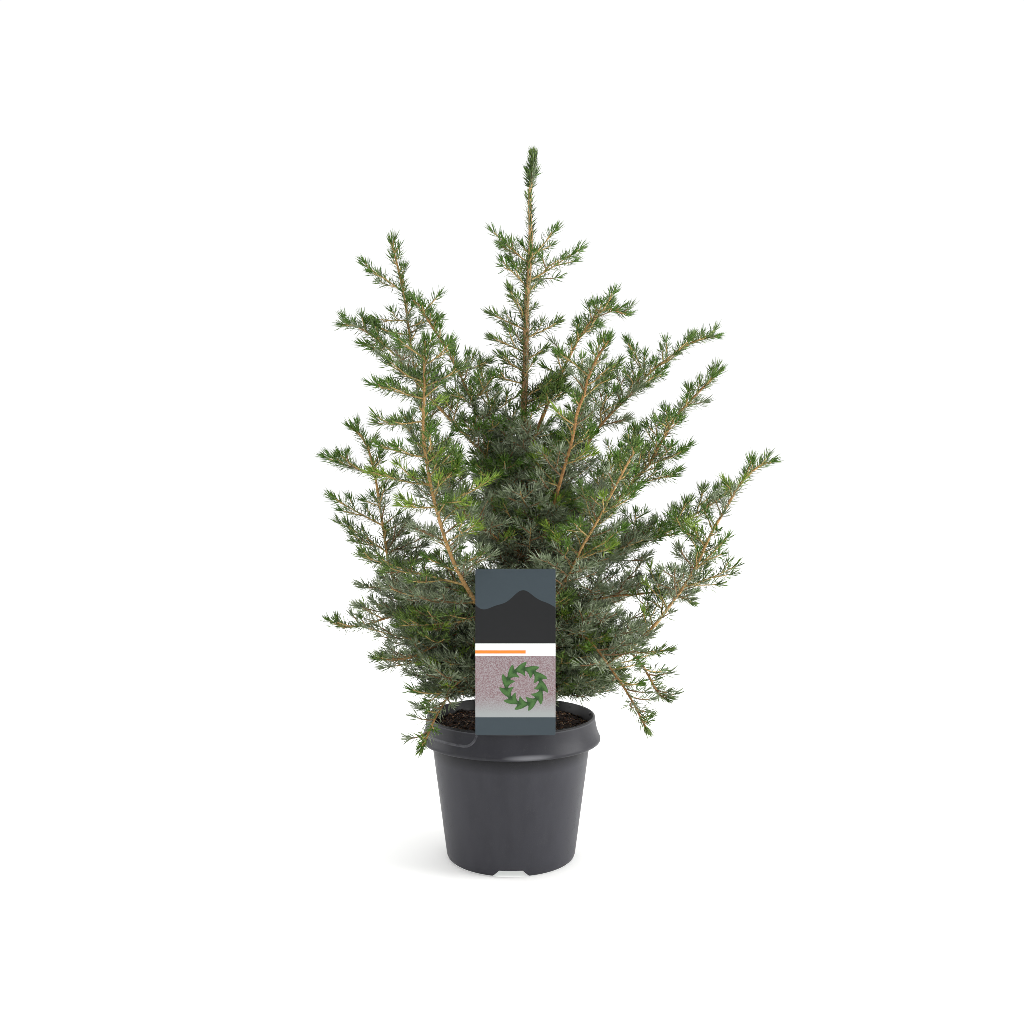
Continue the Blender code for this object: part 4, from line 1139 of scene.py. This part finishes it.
# ---------- Needles ----------
# Flat needles about 14 mm long on every shoot, in a spiral and swept forward: dark green above, with
# blue-grey bands beneath, thickest in the brush at each tip, where this year's growth is brightest.
NEEDLE_LENGTH = 0.0145
NEEDLE_UNEVEN = (0.72, 1.12)
TIP_LENGTH = 1.15  # how much longer the needles at a tip are
NEEDLE_WIDTH = 0.00146
NEEDLE_BOW = -0.06  # of its length, as are the heights of its edges and its ridge
NEEDLE_EDGES = (0.30, 0.58)
NEEDLE_RIDGE = 0.45
NEEDLE_KEEL = 0.55  # the ridge's height, of half the width
NEEDLES_PER_METRE = 1080
# They stand thinner low down and high up: how much at which height of a shoot's foot.
THINNER_HEIGHTS, THINNER = (0.32, 0.40, 0.60, 0.74), (0.72, 1.0, 1.0, 0.72)
BRUSH = 0.008  # the stretch at a tip where needles crowd forward
BRUSH_FILL = 0.9
TUFT = 0.0015  # the last stretch, where a few more stand
SPREAD = (20.0, 46.0, 66.0)  # degrees from the shoot: at its tip, near it and further back
UNDERSIDE = -0.25  # a needle whose foot lies lower round its shoot than this hangs below it
TIP_SPRAY = 0.013  # the stretch at a tip whose needles are this year's
STRAYS = 0.22
PIECE_NEEDLES = 48000  # each needle has four triangles
# Each colour's dark and pale shade, and the other colour that some needles of its sprays take.
NEEDLE_KINDS = {
    "deep": ((0.032, 0.060, 0.018), (0.078, 0.128, 0.038), "green"),
    "green": ((0.086, 0.142, 0.029), (0.162, 0.248, 0.055), "deep"),
    "fresh": ((0.046, 0.112, 0.012), (0.115, 0.222, 0.030), "green"),
    "young": ((0.160, 0.260, 0.030), (0.29, 0.41, 0.060), "green"),
    "grey": ((0.130, 0.167, 0.092), (0.248, 0.302, 0.178), "blue"),
    "blue": ((0.262, 0.308, 0.205), (0.45, 0.50, 0.365), "grey"),
}
# The colours that a shoot of each tone has at its tip, beneath and on top.
TONES = {
    "deep": ("green", "grey", "deep"),
    "green": ("fresh", "grey", "green"),
    "young": ("young", "grey", "green"),
    "grey": ("grey", "blue", "grey"),
}
# The leader's own needles: heights, every how many rings, then what its spray says.
LEADER_SPRAYS = (
    ((0.52, 0.76), 3, {"per_metre": 2300, "tuft": 0, "spread_at": (32.0, 40.0, 54.0)}),
    ((0.76, 0.853), 3, {"per_metre": 2200, "tuft": 0, "spread_at": (38.0, 38.0, 42.0)}),
    ((0.855, 0.896), 2, {"per_metre": 6500, "brush": 0.026, "tuft": 90, "spread_at": (20.0, 42.0, 54.0)}),
)


def needles_along(rng, line, per_metre, brush, tuft, spread_at):
    """Base, direction and facing of the needles on one shoot, and which of them hang below it."""
    run = distances(line)
    total = run[-1]
    even = int(total * per_metre)
    crowd = int(min(brush, total) * per_metre * BRUSH_FILL)
    place = np.concatenate([
        (np.arange(even) + rng.random(even)) / max(1, even) * total,
        total - rng.random(crowd) * min(brush, total),
        total - rng.random(tuft) * TUFT,
    ])
    count = len(place)
    base = point_at(place, run, line)
    along = unit(point_at(place, run, np.gradient(line, axis=0)))
    side = normal_to(np.cross(along, UP) + 1e-6, along)
    over = np.cross(side, along)
    turn = np.arange(count) * GOLDEN_TURN + rng.normal(0.0, 0.3, count)
    radial = np.cos(turn)[:, None] * side + np.sin(turn)[:, None] * over
    below = np.sin(turn) < UNDERSIDE
    left = (total - place) / brush
    spread = np.interp(left, (0.0, 0.8, 2.0), spread_at) + rng.normal(0.0, 8.0, count)
    spread = np.radians(np.maximum(4.0, spread))
    towards = np.cos(spread)[:, None] * along + np.sin(spread)[:, None] * radial
    towards = unit(towards + np.where(below, 0.22, 0.05)[:, None] * over)
    facing = normal_to(along + 0.5 * over + rng.normal(0.0, 0.45, (count, 3)), towards)
    length = NEEDLE_LENGTH * rng.uniform(*NEEDLE_UNEVEN, count) * np.interp(place, (0.0, 0.01), (0.8, 1.0))
    length *= np.interp(left, (0.0, 2.0), (TIP_LENGTH, 1.0))
    return base, towards, facing, length, below, left * brush < TIP_SPRAY


def blades(base, towards, facing, length):
    """Each needle as a keeled blade of five points: its foot, two staggered edges, a ridge and a tip."""
    across = np.cross(towards, facing)
    width = NEEDLE_WIDTH / 2
    length = length[:, None]
    bow = facing * (length * NEEDLE_BOW)
    left = base + towards * length * NEEDLE_EDGES[0] - across * width + bow
    ridge = base + towards * length * NEEDLE_RIDGE + facing * width * NEEDLE_KEEL + bow
    right = base + towards * length * NEEDLE_EDGES[1] + across * width + bow
    tip = base + towards * length
    points = np.stack([base, left, ridge, right, tip], axis=1).reshape(-1, 3)
    pattern = np.array([(0, 2, 1), (0, 3, 2), (1, 2, 4), (2, 3, 4)])
    faces = (pattern[None] + np.arange(len(base))[:, None, None] * 5).reshape(-1, 3)
    return mesh_of(points, faces.tolist())


sprays = {kind: [] for kind in NEEDLE_KINDS}


def spray(seed, line, tone, per_metre=NEEDLES_PER_METRE, brush=BRUSH, tuft=9, spread_at=SPREAD):
    """Deals the needles of one shoot out to the pieces of their colours."""
    rng = np.random.default_rng(seed)
    parts = needles_along(rng, line, per_metre, brush, tuft, spread_at)
    base, towards, facing, length, below, at_tip = parts
    free = ~(is_blocked(base + towards * length[:, None]) | is_blocked(base))
    stray = rng.random(len(base)) < STRAYS
    sides = (free & at_tip, free & ~at_tip & below, free & ~at_tip & ~below)
    for chosen, kind in zip(sides, TONES[tone]):
        sprays[kind].append([part[chosen & ~stray] for part in parts[:4]])
        sprays[NEEDLE_KINDS[kind][2]].append([part[chosen & stray] for part in parts[:4]])


for shoot in shoots:
    per_metre = NEEDLES_PER_METRE * np.interp(shoot.line[0][2], THINNER_HEIGHTS, THINNER)
    spray(shoot.seed, shoot.line, shoot.tone, per_metre)
for number, b in enumerate(BOUGHS):
    shares, line = bough_lines[b.place]
    tone = "green" if b.tip_height > 0.5 else "deep"
    spray(900 + number, line[shares > 0.72][::3], tone, brush=0.018, tuft=16)
for number, ((low, high), every, habit) in enumerate(LEADER_SPRAYS):
    line = trunk_line[(trunk_heights > low) & (trunk_heights < high)][::every]
    spray(950 + number, line, "deep", **habit)

needle_nodes = [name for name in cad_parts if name.startswith("needles_")]
for kind, (dark, pale, _) in NEEDLE_KINDS.items():
    needle_skin, place = new_finish(f"needles_{kind}", 0.42, 0.3)
    mottle = place.noise(0.0035, detail=3.0)
    feed(
        needle_skin,
        base_color=mottle.ramp(0.38, 0.62).tint(dark, pale),
        roughness=mottle.ramp(0.3, 0.7, 0.34, 0.52),
    )
    base, towards, facing, length = (np.concatenate(column) for column in zip(*sprays[kind]))
    pieces = math.ceil(len(base) / PIECE_NEEDLES)
    for number in range(pieces):
        share = slice(number * len(base) // pieces, (number + 1) * len(base) // pieces)
        blade_mesh = blades(base[share], towards[share], facing[share], length[share])
        needles = shown(f"needles_{kind}_{number + 1}", blade_mesh, needle_skin)
        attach(needles, "root")
        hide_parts(*needle_nodes)


# ---------- Floor and light ----------
# A plain near-white floor under even white light, with a soft lamp on the right and a weaker one on
# the left. The floor under the pot gives off a little light, so that the notches show light.
FLOOR_HALF = 30.0
FLOOR_DULL = (0.93, 0.93, 0.92)
FLOOR_BRIGHT = (0.96, 0.96, 0.95)
UNLIT = (0.0, 0.0, 0.0)
NOTCH_LIGHT = (0.80, 0.83, 0.80)
NOTCH_LIGHT_SHARE = 0.7
WORLD_EVEN, WORLD_ABOVE, WORLD_BEHIND = 0.68, 1.05, 0.40
WORLD_RANGE = (0.12, 3.0)
WORLD_SEEN = 1.05  # the strength of the world that the camera sees round the floor
FILTER_WIDTH = 0.8
LAMP_TARGET = (0.0, 0.0, 0.25)
LAMPS = (  # name, place, size and power
    ("right", (1.5, -0.30, 0.70), 0.8, 23.0),
    ("left", (-1.4, 0.30, 0.60), 0.5, 4.0),
)

floor_paint, place = new_finish("floor_paint", 0.9, 0.0)
x, y, _ = place.xyz()
under_pot = ((x * x + y * y) ** 0.5 < FOOT_RADIUS - 0.002) * NOTCH_LIGHT_SHARE
feed(
    floor_paint,
    base_color=place.noise(0.5).tint(FLOOR_DULL, FLOOR_BRIGHT),
    emission_color=under_pot.tint(UNLIT, NOTCH_LIGHT),
)
floor_paint.node_tree.nodes["Principled BSDF"].inputs["Emission Strength"].default_value = 1.0
corners = [(x * FLOOR_HALF, y * FLOOR_HALF, 0.0) for x, y in ((-1, -1), (1, -1), (1, 1), (-1, 1))]
floor = shown("floor", mesh_of(corners, [(0, 1, 2, 3)]), floor_paint)

world = bpy.data.worlds.new("studio")
world.use_nodes = True
backdrop = world.node_tree.nodes["Background"]
direction = Wire(world.node_tree.nodes.new("ShaderNodeTexCoord").outputs["Generated"])
_, behind, above = direction.xyz()
soft = above * WORLD_ABOVE + behind * WORLD_BEHIND + WORLD_EVEN
seen = direction.node("LightPath")
strength = seen * WORLD_SEEN + (1 - seen) * soft.ramp(*WORLD_RANGE, *WORLD_RANGE)
world.node_tree.links.new(strength.socket, backdrop.inputs["Strength"])
backdrop.inputs["Color"].default_value = (1.0, 1.0, 1.0, 1.0)
bpy.context.scene.world = world
bpy.context.scene.view_settings.view_transform = "Standard"
bpy.context.scene.cycles.filter_width = FILTER_WIDTH
bpy.context.scene.cycles.denoising_prefilter = "NONE"  # keeps the needles crisp

for name, place, size, power in LAMPS:
    lamp_data = bpy.data.lights.new(name, "AREA")
    lamp_data.size = size
    lamp_data.energy = power
    lamp = linked(name, lamp_data)
    lamp.location = place
    away = unit(np.array(place) - np.array(LAMP_TARGET))
    lamp.rotation_euler = (math.acos(away[2]), 0.0, math.atan2(away[1], away[0]) + math.pi / 2)
